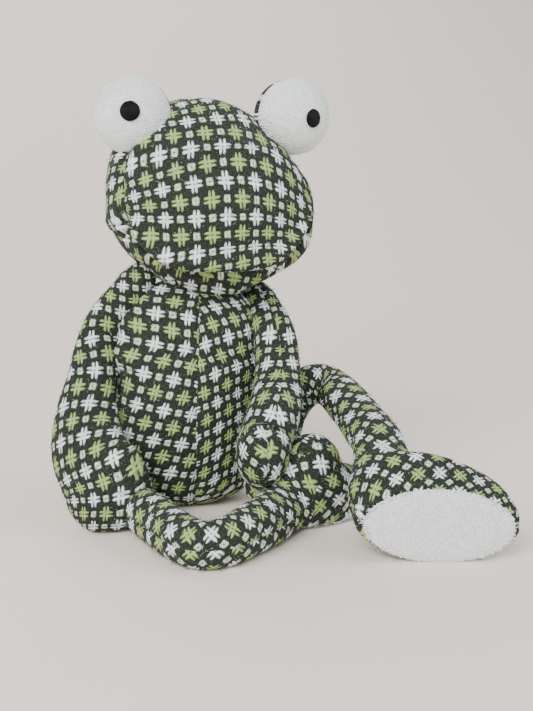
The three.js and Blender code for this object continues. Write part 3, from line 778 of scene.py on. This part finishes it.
def shape_face(shaped):
    """Rolls the upper lip, draws the cloth below it inwards and sews in the dart."""
    shaped.normal_update()
    moves = []
    for knot in shaped.verts:
        height, inside = above_smile(knot.co)
        roll = LIP_ROLL * math.exp(-((height - 4.0) / 4.2) ** 2)
        tuck = -LIP_TUCK * smoothstep(-height, -0.6, 2.4)
        pinch = -DART_DEPTH * math.exp(-((knot.co - DART_PLACE).length / 5.0) ** 2)
        moves.append((knot, knot.normal * ((roll + tuck) * inside + pinch)))
    shift(moves)


head_form = stuffed_form(head_solid(0, 160, 160))
shape_face(head_form)
head = add_object("head_skin", head_form)
put_on(head, "head", "head")

# The lower jaw is a stuffed band that sits back under the lip and runs into the throat.
# It is the lower part of a slightly smaller head, drawn in at its top and cut off there.
JAW_SETBACK = 3.0
JAW_TUCK = 13.0
CHIN_FULLNESS = 3.8


def shape_jaw(shaped):
    """Fills the chin and draws the jaw's top in behind the lip."""
    shaped.normal_update()
    moves = []
    for knot in shaped.verts:
        height = above_smile(knot.co)[0]
        chin = CHIN_FULLNESS * smoothstep(-height, 8.0, 18.0)
        moves.append((knot, knot.normal * (chin - JAW_TUCK * smoothstep(height, -6.0, 5.0))))
    shift(moves)


def cut_flat(shaped, place, facing):
    """Cuts off what lies past a plane and closes the form there."""
    bmesh.ops.bisect_plane(shaped, geom=shaped.verts[:] + shaped.edges[:] + shaped.faces[:],
                           plane_co=place, plane_no=facing, clear_outer=True)
    bmesh.ops.holes_fill(shaped, edges=[edge for edge in shaped.edges if edge.is_boundary])


jaw_shape = head_solid(-JAW_SETBACK, 144, 144)
jaw_shape["panels"] = [
    cloth_panel(0, 180, pulled((1.96, -3.14, 0.10), (-0.63, -0.41, 1.8), (-60, 60), (0, 80))),
    cloth_panel(180, 360, draped((0.0, 0.0))),
]
jaw_form = stuffed_form(jaw_shape)
shape_jaw(jaw_form)
cut_flat(jaw_form, (0, 0, SMILE_LOW + SMILE_RISE + 10), (0, 0, 1))
jaw = add_object("jaw_skin", jaw_form)
put_on(jaw, "head", "lower_jaw")

# Each eye is a stuffed ball of two cups. The front cup is white terry, the back one check
# cloth, and the seam between them is folded inwards. The pupil is black satin stitch.
EYE_WIDTH = 42.6
EYE_SPREAD = 44
EYE_OFFSET = 1
EYE_LIFT = 99.5
EYE_FORWARD = 9
EYE_SPLAY = 16
EYE_SEAM_DEPTH = 0.035
BACK_CUP_SHARE = 0.985
TERRY_LOOP = 1.35
STITCH_WIDTH = 0.00055
UPWARD = Vector((0, 0, 1))
SIDES = ((-1, "right"), (1, "left"))


def build_terry_loops():
    """Rows of small loops, and a mask of painted shade for the valleys between them. The place is in
    metres.
    """
    group, given, result = new_group(
        "terry_loops", [("Place", "NodeSocketVector"), ("Rows", "NodeSocketFloat")],
        [("Height", "NodeSocketFloat"), ("Valley shade", "NodeSocketFloat")])
    work = sums(group)
    place = given.outputs["Place"]
    sway = add_noise(group, place, 90.0, detail=2.0, colour=True)
    sway = vector_work(group, "SUBTRACT", sway, (0.5, 0.5, 0.5))
    sway = vector_work(group, "SCALE", sway, None, scale=0.004)
    swayed = vector_work(group, "ADD", place, sway)
    split = group.nodes.new("ShaderNodeSeparateXYZ")
    group.links.new(swayed, split.inputs[0])
    rows = work("SINE", work("MULTIPLY", split.outputs[0], given.outputs["Rows"]))
    rows = work("MULTIPLY_ADD", rows, 0.5, 0.5)
    loops = group.nodes.new("ShaderNodeTexVoronoi")
    loops.feature = "F1"
    loops.inputs["Scale"].default_value = 1150.0
    group.links.new(swayed, loops.inputs["Vector"])
    knobs = work("SUBTRACT", 1.0, loops.outputs["Distance"])
    height = work("ADD", work("MULTIPLY", rows, 0.3), work("MULTIPLY", knobs, 0.65))
    height = work("ADD", height, work("MULTIPLY", add_noise(group, place, 900.0, detail=3.0), 0.35))
    group.links.new(height, result.inputs["Height"])
    # Below the loops' crowns, in the valleys between them, the mask gives painted shade.
    valley_shade = work("MULTIPLY", work("SUBTRACT", 0.62, height), 2.2, clamp=True)
    group.links.new(valley_shade, result.inputs["Valley shade"])
    return group


terry_loops = build_terry_loops()


def make_white_terry():
    material, tree, shader = new_cloth_material("white_terry", 0.25, 0.95)
    loops, layout = add_weave(tree, terry_loops)
    loops.inputs["Rows"].default_value = 2 * math.pi / (TERRY_LOOP * MM)
    soil = add_noise(tree, layout, 55.0, detail=3.0)
    pile = mix_colours(tree, soil, (0.86, 0.90, 0.92, 1), (0.95, 0.97, 0.98, 1))
    # The valleys between the loops are painted a bluish grey: painted shade.
    pile = mix_colours(tree, loops.outputs["Valley shade"], pile, (0.62, 0.68, 0.74, 1))
    tree.links.new(pile, shader.inputs["Base Color"])
    add_bump(tree, shader, loops.outputs["Height"], 0.9, 0.0009)
    return material


def make_pupil_thread():
    material, tree, shader = new_cloth_material("pupil_thread", 0.0, 0.6)
    layout = tree.nodes.new("ShaderNodeTexCoord").outputs["Object"]
    work = sums(tree)
    split = tree.nodes.new("ShaderNodeSeparateXYZ")
    tree.links.new(layout, split.inputs[0])
    sway = work("MULTIPLY", add_noise(tree, layout, 500.0, detail=2.0), 0.0008)
    across = work("ADD", split.outputs["X"], sway)
    stitches = work("SINE", work("MULTIPLY", across, 2 * math.pi / STITCH_WIDTH))
    stitches = work("MULTIPLY_ADD", stitches, 0.5, 0.5)
    # The thread is painted a little darker between the stitch rows: painted shade.
    tree.links.new(mix_colours(tree, stitches, (0.001, 0.0015, 0.002, 1), (0.006, 0.007, 0.010, 1)),
                   shader.inputs["Base Color"])
    add_bump(tree, shader, stitches, 0.7, 0.0003)
    return material


white_terry = make_white_terry()
pupil_thread = make_pupil_thread()


def eye_place(side):
    return Vector((EYE_OFFSET + side * EYE_SPREAD, -EYE_FORWARD, EYE_LIFT)) + HEAD_BASE


def eye_frame(side):
    """Across, up and out of the eye."""
    turn = math.radians(EYE_SPLAY) * side
    out = Vector((math.sin(turn), -math.cos(turn), 0))
    return UPWARD.cross(-out).normalized(), UPWARD, out


def flat_layout(shaped, centre, across, up, scale):
    """Lays a piece flat against a plane through its centre."""
    layer = shaped.loops.layers.uv.new("cloth")
    for face in shaped.faces:
        for loop in face.loops:
            off = loop.vert.co - centre
            loop[layer].uv = (off.dot(across) * scale[0], off.dot(up) * scale[1])


def eye_cup(side, half):
    """One half of an eye: 1 is the terry front, -1 the check back."""
    across, up, out = eye_frame(side)
    centre = eye_place(side)
    shaped = bmesh.new()
    bmesh.ops.create_uvsphere(shaped, u_segments=112, v_segments=72, radius=EYE_WIDTH / 2)
    reach = (EYE_WIDTH / 2) * (1.0 if half > 0 else BACK_CUP_SHARE)
    for knot in shaped.verts:
        away = knot.co.normalized()
        plump = 1 + 0.012 * noise.noise(away * 1.7 + Vector((side, half, 2)))
        fold = math.exp(-(away.z * reach / 2.0) ** 2) * EYE_SEAM_DEPTH
        knot.co = away * reach * (plump - fold)
    bmesh.ops.bisect_plane(shaped, geom=shaped.verts[:] + shaped.edges[:] + shaped.faces[:],
                           plane_co=(0, 0, -0.4), plane_no=(0, 0, 1), clear_inner=True)
    bmesh.ops.holes_fill(shaped, edges=[edge for edge in shaped.edges if edge.is_boundary])
    stand = Matrix((half * across, up, half * out)).transposed()
    bmesh.ops.rotate(shaped, cent=(0, 0, 0), matrix=stand, verts=shaped.verts)
    bmesh.ops.translate(shaped, vec=centre, verts=shaped.verts)
    bmesh.ops.recalc_face_normals(shaped, faces=shaped.faces)
    return shaped, centre, across, up


TERRY_SLANT = {-1: 62, 1: -35}
for side, name in SIDES:
    cup, centre, across, up = eye_cup(side, 1)
    lean = Matrix.Rotation(math.radians(TERRY_SLANT[side]), 3, eye_frame(side)[2])
    flat_layout(cup, centre, lean @ across, lean @ up, (MM, MM))
    front = add_object(f"{name}_eye_terry", cup)
    front.data.materials.append(white_terry)
    back_cup, centre, across, up = eye_cup(side, -1)
    flat_layout(back_cup, centre, across, up, (1 / WEAVE_REPEAT[0], 1 / WEAVE_REPEAT[1]))
    back = add_object(f"{name}_eye_cloth", back_cup)
    back.data.materials.append(check_cloth)
    for cap, part, slot in ((front, "eye_front", "white_terry"), (back, "eye_back", "check_cloth")):
        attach(cap, "head")
        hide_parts(f"{name}_{part}")

PUPIL_SIZES = {-1: (10.0, 9.9), 1: (8.2, 9.4)}
PUPIL_SHIFTS = {-1: (-2.4, 1.4), 1: (-1.5, -1.4)}
for side, name in SIDES:
    across, up, out = eye_frame(side)
    patch = bmesh.new()
    bmesh.ops.create_circle(patch, cap_ends=True, segments=72, radius=1)
    bmesh.ops.inset_region(patch, faces=patch.faces, thickness=0.12, use_even_offset=True)
    for inset in (0.2, 0.25):
        bmesh.ops.inset_region(patch, faces=[f for f in patch.faces if len(f.verts) > 4], thickness=inset)
    bmesh.ops.poke(patch, faces=[f for f in patch.faces if len(f.verts) > 4])
    wide, high = PUPIL_SIZES[side]
    for knot in patch.verts:
        edge = knot.co.length
        turn = math.atan2(knot.co.y, knot.co.x)
        ragged = 1 + (0.035 * noise.noise(Vector((math.cos(turn) * 3, math.sin(turn) * 3, side * 5)))
                      + 0.02 * math.sin(turn * 36)) * (edge > 0.9)
        flat = Vector((knot.co.x * wide / 2 * ragged, knot.co.y * high / 2 * ragged))
        flat += Vector(PUPIL_SHIFTS[side])
        radius = EYE_WIDTH / 2 + (0.1 if edge > 0.95 else 0.9 if edge > 0.6 else 1.1)
        depth = math.sqrt(radius ** 2 - flat.length_squared)
        knot.co = eye_place(side) + across * flat.x + up * flat.y + out * depth
    bmesh.ops.recalc_face_normals(patch, faces=patch.faces)
    pupil = add_object(f"{name}_pupil_stitch", patch)
    skin = pupil.modifiers.new("thread_depth", "SOLIDIFY")
    skin.thickness = 1.0 * MM
    skin.offset = -1
    pupil.data.materials.append(pupil_thread)
    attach(pupil, "head")
    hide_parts(f"{name}_pupil")

# Each arm is one long stuffed tube of a front and a back panel that widens to a mitten
# of a hand. It is sewn on at the shoulder.
SIDEWAYS = Vector((1, 0, 0))
ARM_LENGTH = 144
ARM_WIDTH = 23
ARM_GIRTH = 90
HAND_WIDTH = 44
HAND_DEPTH = 29
hand_widening = profile([(0, 0), (0.2, 0.1), (0.33, 0.31), (0.5, 0.58), (0.75, 1), (1, 0.95)])
hand_thickening = profile([(0, 0), (0.3, 0.1), (0.5, 0.45), (0.75, 1), (1, 0.95)])
HAND_PRESS = 6.0
ELBOW_SHARE = 0.4
ARM_ROOT = 20
SHOULDER_RISE = {"right": 38, "left": 22}
SHOULDER_GAP = 0.3
LIMB_SEAMS = (0, 180)
LIMB_SEWING = {"seams": LIMB_SEAMS, "ease": 0.02, "cap": 0.9}
ARM_PLACES = {
    "right": [(-0.113, 0, -0.155), (-0.15, -0.063, -0.3), (-0.183, -0.14, -0.44),
              (-0.184, -0.236, -0.57), (-0.146, -0.312, -0.708), (-0.153, -0.361, None)],
    "left": [(0.021, -0.156, -0.096), (0.024, -0.215, -0.186), (0.009, -0.281, -0.289),
             (-0.028, -0.361, -0.386), (-0.072, -0.42, -0.47), (-0.094, -0.56, -0.535)],
}


def arm_line(side, name):
    """The arm's middle line from the shoulder. A place without a height lies on the ground."""
    rise = math.radians(SHOULDER_RISE[name])
    heading = Vector((side * math.cos(rise), 0, math.sin(rise)))
    shoulder = neck_place + heading * ((NECK_WIDTH + ARM_WIDTH) / 2 + SHOULDER_GAP)
    on_ground = -(shoulder.z + SEAT_SQUASH) / ARM_LENGTH
    return Course([shoulder, *(Vector((x, y, on_ground if z is None else z)) * ARM_LENGTH + shoulder
                               for x, y, z in ARM_PLACES[name])])


def widening(start, end, run):
    """A width or depth that goes from one measure to another as the run does."""
    return lambda share: start + (end - start) * run(share)


def limb_slump(seed):
    return lambda share, angle, along: lumps(share * 3, angle, 1.1, 0.7, seed)


def limb_relief(girth, seed):
    """Two seam lines with their gathers, on top of the slump."""
    slump = limb_slump(seed)

    def relief(share, angle, along):
        pull = sum(sewn_line(angle, seam, 1.6, 1.0, girth) + pucker(along, angle, seam, girth, 0.25)
                   for seam in LIMB_SEAMS)
        return pull + slump(share, angle, along)
    return relief


def plump_hand(share, angle):
    """The right hand is pressed out towards the leg that it lies on."""
    return HAND_PRESS * math.exp(-((angle - 165) / 55) ** 2) * smoothstep(share, 0.6, 0.85)


def arm_relief(side):
    sewn = limb_relief(ARM_GIRTH, 20 + side)
    return lambda share, angle, along: sewn(share, angle, along) + (side < 0) * plump_hand(share, angle)


ARM_PANELS = {
    "right": [
        cloth_panel(0, 180, pulled(
            (3.18, 2.37, -4.54, -0.03, 0.24, 2.02, -0.19, -0.74, 0.06, -0.27),
            (6.40, -2.51, -3.49, 0.42, 1.80, 0.50, -0.36, -0.34, -0.33, -0.09), (-25, 25), (34, 160))),
        cloth_panel(180, 360, draped((7.0, 5.0))),
    ],
    "left": [
        cloth_panel(0, 180, pulled(
            (-0.05, 3.71, 2.61, 0.04, -0.55, -0.88), (5.73, -0.50, -3.55, -0.54, -0.20, 0.20),
            (-27, 0), (51, 147))),
        cloth_panel(180, 360, pulled((-1.19, 3.0, 0.3), (5.0, 0, -2.6), (-40, 40), (0, 200))),
    ],
}
arm_lines = {name: arm_line(side, name) for side, name in SIDES}
arms = {}
for side, name in SIDES:
    arms[name] = stuffed_form({
        "line": arm_lines[name], "start_reach": ARM_ROOT, "end_reach": 0,
        "start_round": ARM_ROOT, "end_round": HAND_WIDTH / 2,
        "width": widening(ARM_WIDTH, HAND_WIDTH, hand_widening),
        "depth": widening(ARM_WIDTH, HAND_DEPTH, hand_thickening),
        "facing": SIDEWAYS if side > 0 else FORWARD, "sides": 80, "rings": 96, "crowd": 0.5,
        "relief": arm_relief(side), "slump": limb_slump(20 + side), **LIMB_SEWING,
        "panels": ARM_PANELS[name],
    })

# Each leg is a thin stuffed tube in two panels. The right one lies on the ground in a
# wide bend, the left one stands up behind the arm and comes forward over its knee.
LEG_LENGTH = 180
LEG_WIDTH = 25
LEG_GIRTH = 80
ANKLE_WIDTH = 29
KNEE_SHARE = 0.5
HIP_PLACES = {"right": Vector((-40.75, -25.46, 13.5)), "left": Vector((40.26, -25.15, 13.5))}
ANKLE_HEIGHTS = {"right": 32.3, "left": 33.0}
LEG_PLACES = {
    "right": [(0.04, -0.122, 0), (0.07, -0.237, 0), (0.095, -0.314, 0), (0.12, -0.4, 0),
              (0.165, -0.478, 0), (0.225, -0.481, 0), (0.303, -0.422, 0), (0.438, -0.265, 0.012),
              (0.55, -0.186, None)],
    "left": [(0.052, 0.036, 0.145), (0.1, 0.06, 0.244), (0.161, 0.072, 0.297), (0.211, 0.07, 0.302),
             (0.24, 0.044, 0.289), (0.26, -0.053, 0.26), (0.276, -0.181, 0.22), (0.278, -0.305, 0.185),
             (0.27, -0.39, None)],
}


def leg_line(name):
    """The leg's middle line from the hip. The place without a height is the ankle."""
    hip = HIP_PLACES[name]
    lying = LEG_WIDTH / 2 - SEAT_SQUASH
    ankle_rise = (ANKLE_HEIGHTS[name] - lying) / LEG_LENGTH
    return Course([hip, *(Vector((hip.x + x * LEG_LENGTH, hip.y + y * LEG_LENGTH,
                                  lying + (ankle_rise if rise is None else rise) * LEG_LENGTH))
                          for x, y, rise in LEG_PLACES[name])])


LEG_PANELS = {
    "right": [cloth_panel(0, 180, draped((4.0, 6.0), 45)), cloth_panel(180, 360, draped((1.0, 3.0), 45))],
    "left": [cloth_panel(0, 180, draped((3.0, 2.0), 38)), cloth_panel(180, 360, draped((5.0, 8.0), 45))],
}
leg_lines = {name: leg_line(name) for name in ("right", "left")}
leg_girth = widening(LEG_WIDTH, ANKLE_WIDTH, lambda share: smoothstep(share, KNEE_SHARE, 1))
legs = {}
for side, name in SIDES:
    legs[name] = stuffed_form({
        "line": leg_lines[name], "start_reach": LEG_WIDTH / 2, "end_reach": ANKLE_WIDTH / 2,
        "start_round": LEG_WIDTH / 2, "end_round": ANKLE_WIDTH / 2,
        "width": leg_girth, "depth": leg_girth,
        "facing": UPWARD, "sides": 72, "rings": 144, "crowd": 0.4, "gathers": True,
        "relief": limb_relief(LEG_GIRTH, 30 + side), "slump": limb_slump(30 + side), **LIMB_SEWING,
        "panels": LEG_PANELS[name],
    })

# Each foot is a big stuffed shoe shape: a check upper that rises to the ankle, and an
# oval sole of white terry sewn in below, with its pile standing over the seam.
FOOT_LENGTH = 82
FOOT_WIDTH = 39
FOOT_GIRTH = 190
ANKLE_FROM_HEEL = 14
ANKLE_ABOVE_SOLE = 30
ANKLE_SIDE = 14
SOLE_LENGTH = 73
SOLE_WIDTH = 36
SOLE_MIDDLE = 0.47
PAD_OVERLAP = 0.8
PAD_BULGE = {"right": 1.9, "left": 2.6}
TUFT_COUNT = 230
TUFT_ROOT = 0.4
foot_narrow = profile([(0, 0.04), (0.15, 0), (0.4, 0.12), (0.7, 0.5), (1, 1)])
foot_swell = profile([(0, 1), (0.2, 1.12), (0.45, 1.2), (0.7, 1.08), (1, ANKLE_WIDTH / FOOT_WIDTH)])
FOOT_RISE = ((SOLE_MIDDLE, 0, 0), (0.42, 0.33, 0.5), (0.31, 0.67, 0.75), (0.17, 1, 1))


def foot_frame(ankle, toe, lean):
    """The foot's own directions, and its heel's place for a sole that leans by so much."""
    toe = Vector(toe).normalized()
    sole = Vector((toe.y, -toe.x, 0)).normalized() if lean > 0 else -UPWARD
    across = toe.cross(sole)
    heel = ankle - toe * ANKLE_FROM_HEEL + sole * ANKLE_ABOVE_SOLE + across * lean
    return {"toe": toe, "sole": sole, "across": across, "heel": heel, "ankle": ankle, "lean": lean}


foot_frames = {
    "right": foot_frame(leg_lines["right"].places[-1], (0.75, 0.66, 0), 0),
    "left": foot_frame(leg_lines["left"].places[-1], (0.976, -0.208, -0.03), ANKLE_SIDE),
}


def foot_slump(share, angle, along):
    return lumps(share, angle, 1.6, 1.0, 41)


def foot_relief(share, angle, along):
    return (sewn_line(angle, 0, 2.0, 1.0, FOOT_GIRTH) + sewn_line(angle, 180, 2.0, 1.2, FOOT_GIRTH)
            + foot_slump(share, angle, along))


FOOT_DRAPES = {
    "right": pulled((5.85, -2.22, -2.71), (5.15, -1.79, 0.68), (-40, 40), (0, 100)),
    "left": pulled((4.88, 2.38, -4.74, -0.42, -0.09, 2.50), (7.70, -3.10, -6.25, -0.05, 1.20, 1.92),
                   (-40, 40), (18, 66)),
}
feet = {}
for name, at in foot_frames.items():
    rises = [at["heel"] + at["toe"] * along * FOOT_LENGTH - at["sole"] * rise * ANKLE_ABOVE_SOLE
             - at["across"] * aside * at["lean"] for along, rise, aside in FOOT_RISE]
    rises[-1] = at["ankle"].copy()
    foot_form = stuffed_form({
        "line": Course(rises), "start_reach": 6, "end_reach": ANKLE_WIDTH / 2,
        "start_round": 9, "end_round": ANKLE_WIDTH / 2,
        "width": widening(FOOT_LENGTH, ANKLE_WIDTH, foot_narrow),
        "depth": lambda share: FOOT_WIDTH * foot_swell(share),
        "facing": at["across"], "way": -at["sole"], "sides": 120, "rings": 80,
        "relief": foot_relief, "slump": foot_slump, **LIMB_SEWING,
        "panels": [cloth_panel(0, 180, draped((0.0, 0.0), 40)), cloth_panel(180, 360, FOOT_DRAPES[name])],
    })
    cut_flat(foot_form, at["heel"], at["sole"])
    feet[name] = foot_form

    pad = bmesh.new()
    bmesh.ops.create_uvsphere(pad, u_segments=120, v_segments=60, radius=1)
    middle = at["heel"] + at["toe"] * SOLE_MIDDLE * FOOT_LENGTH
    for knot in pad.verts:
        place = knot.co.copy()
        fullness = 1 - math.hypot(place.x, place.y) ** 5
        bulge = PAD_BULGE[name] * (1 if place.z > 0 else -1) * fullness
        knot.co = (middle + at["toe"] * place.x * (SOLE_LENGTH / 2 + PAD_OVERLAP)
                   - at["across"] * place.y * (SOLE_WIDTH / 2 + PAD_OVERLAP) + at["sole"] * bulge)
    tufts = random.Random(len(name))
    for count in range(TUFT_COUNT):
        turn = 2 * math.pi * (count + tufts.random()) / TUFT_COUNT
        way = (at["toe"] * math.cos(turn) - at["across"] * math.sin(turn)).normalized()
        rim = (middle + at["toe"] * math.cos(turn) * (SOLE_LENGTH / 2 + TUFT_ROOT)
               - at["across"] * math.sin(turn) * (SOLE_WIDTH / 2 + TUFT_ROOT)
               + at["sole"] * tufts.uniform(-0.6, 0.9))
        lean = way + at["sole"] * tufts.uniform(-0.4, 0.6)
        stand = Matrix.Translation(rim) @ lean.to_track_quat("Z", "Y").to_matrix().to_4x4()
        bmesh.ops.create_cone(pad, cap_ends=True, segments=5, radius1=0.55, radius2=0.25,
                              depth=tufts.uniform(1.0, 2.6), matrix=stand)
    flat_layout(pad, middle, at["toe"], at["across"], (MM, MM))
    bmesh.ops.recalc_face_normals(pad, faces=pad.faces)
    set_down(pad)
    sole = add_object(f"{name}_sole_pad", pad)
    sole.data.materials.append(white_terry)
    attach(sole, f"{name}_foot")
    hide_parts(f"{name}_sole")

# Where two soft limbs lie on each other both give way, and the leg runs into its foot
# without a step. Then the limbs are put on, and each foot rides on the foot's body.
PRESS_GAP = 0.1
JOIN_REACH = 11.0
JOIN_RISE = 2.8
BEND_HALF = 9
FIBRE_LENGTHS = (1.2, 3.4)
FIBRE_THICKNESSES = (0.07, 0.13)


def depths(first, second):
    """Each place of two closed forms, how deep it lies in the other, and the way out of it."""
    first.normal_update()
    second.normal_update()
    trees = BVHTree.FromBMesh(first), BVHTree.FromBMesh(second)
    for shaped, tree in ((first, trees[1]), (second, trees[0])):
        for knot in shaped.verts:
            near, way_out, _, gap = tree.find_nearest(knot.co)
            yield knot, (gap if (knot.co - near).dot(way_out) < 0 else -gap), way_out


def press_together(first, second):
    """Moves the parts of two forms that lie in each other to the middle between them."""
    shift([(knot, way_out * (depth / 2 + PRESS_GAP))
           for knot, depth, way_out in depths(first, second) if depth > 0])


def soften_join(first, second):
    """Fills the crease where two forms run into each other."""
    shift([(knot, knot.normal * JOIN_RISE * (1 - abs(depth) / JOIN_REACH) ** 2)
           for knot, depth, _ in depths(first, second) if abs(depth) < JOIN_REACH])


for name in ("right", "left"):
    soften_join(legs[name], feet[name])
for first, second in ((arms["right"], legs["right"]), (arms["left"], legs["right"]),
                      (arms["left"], feet["right"]), (legs["left"], feet["right"]),
                      (legs["left"], legs["right"]), (arms["left"], legs["left"])):
    press_together(first, second)
for shaped in (*arms.values(), *legs.values(), *feet.values()):
    set_down(shaped)


def loose_fibres(name, shaped, count, seed):
    """Short hairs that stand out of the cloth."""
    chance = random.Random(seed)
    shaped.normal_update()
    shaped.faces.ensure_lookup_table()
    reach, total = [], 0.0
    for face in shaped.faces:
        total += face.calc_area()
        reach.append(total)
    places, faces = [], []
    for _ in range(count):
        face = shaped.faces[min(bisect.bisect(reach, chance.random() * total), len(reach) - 1)]
        weights = [chance.random() for _ in face.verts]
        root = sum((knot.co * weight for knot, weight in zip(face.verts, weights)), Vector()) / sum(weights)
        lean = Vector([chance.uniform(-1, 1) for _ in range(3)])
        way = (face.normal * chance.uniform(0.25, 1.0) + lean * 0.9).normalized()
        if way.dot(face.normal) < 0.1:
            way = (way + face.normal).normalized()
        side = way.orthogonal().normalized()
        ahead = way.cross(side)
        long = chance.uniform(*FIBRE_LENGTHS)
        thick = chance.uniform(*FIBRE_THICKNESSES)
        curl = side.lerp(ahead, chance.random()) * long * chance.uniform(-0.5, 0.5)
        base = len(places)
        for height, width, bent in ((-0.3, 1.0, 0.0), (0.55, 0.8, 0.35)):
            for turn in (0.0, 2.094, 4.189):
                places.append((root + way * long * height + curl * bent
                               + (side * math.cos(turn) + ahead * math.sin(turn)) * thick * width) * MM)
        places.append((root + way * long * 0.95 + curl) * MM)
        faces.append((base + 2, base + 1, base))
        for turn in range(3):
            after = (turn + 1) % 3
            faces.append((base + turn, base + after, base + 3 + after, base + 3 + turn))
            faces.append((base + 3 + turn, base + 3 + after, base + 6))
    for place in places:
        place.z = max(place.z, 0)
    mesh = bpy.data.meshes.new(name)
    mesh.from_pydata(places, [], faces)
    hairs = bpy.data.objects.new(name, mesh)
    scene.collection.objects.link(hairs)
    hairs.data.materials.append(fibre_material)
    return hairs


def make_fibre_material():
    material, tree, shader = new_cloth_material("loose_fibre", 0.1, 0.9)
    place = tree.nodes.new("ShaderNodeTexCoord").outputs["Object"]
    tint = add_noise(tree, place, 420.0, detail=1.0)
    work = sums(tree)
    bright = work("MULTIPLY", work("SUBTRACT", tint, 0.5), 9.0, clamp=True)
    green = work("MULTIPLY", work("SUBTRACT", 0.47, tint), 9.0, clamp=True)
    colour = mix_colours(tree, bright, (0.035, 0.05, 0.035, 1), (0.55, 0.60, 0.52, 1))
    tree.links.new(mix_colours(tree, green, colour, (0.26, 0.33, 0.15, 1)), shader.inputs["Base Color"])
    return material


fibre_material = make_fibre_material()
for skin, rides, count in ((body, "body", 1500), (head, "head", 2200), (jaw, "head", 500)):
    source = bmesh.new()
    source.from_mesh(skin.data)
    bmesh.ops.scale(source, vec=(1 / MM, 1 / MM, 1 / MM), verts=source.verts)
    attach(loose_fibres(f"{skin.name}_fibres", source, count, count), rides)
    source.free()


def bend_at(line, share):
    """The stretch of a limb on either side of its joint."""
    joint, way = line.at(line.length * share)
    return {"start": (joint - way * BEND_HALF) * MM, "end": (joint + way * BEND_HALF) * MM}


for name in ("right", "left"):
    arm_bend = bend_at(arm_lines[name], ELBOW_SHARE)
    leg_bend = bend_at(leg_lines[name], KNEE_SHARE)
    arm_hairs = loose_fibres(f"{name}_arm_fibres", arms[name], 1000, 5)
    leg_hairs = loose_fibres(f"{name}_leg_fibres", legs[name], 1000, 6)
    foot_hairs = loose_fibres(f"{name}_foot_fibres", feet[name], 700, 7)
    arm = add_object(f"{name}_arm", arms[name])
    leg = add_object(f"{name}_leg", legs[name])
    foot = add_object(f"{name}_foot_skin", feet[name])
    for limb in (arm, leg, foot):
        finish_soft(limb)
    for piece in (arm, arm_hairs):
        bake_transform(piece)
    for piece in (leg, leg_hairs):
        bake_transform(piece)
    for piece in (foot, foot_hairs):
        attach(piece, f"{name}_foot")
    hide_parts(f"{name}_upper_arm", f"{name}_forearm")
    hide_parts(f"{name}_thigh", f"{name}_shin")
    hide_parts(f"{name}_foot")
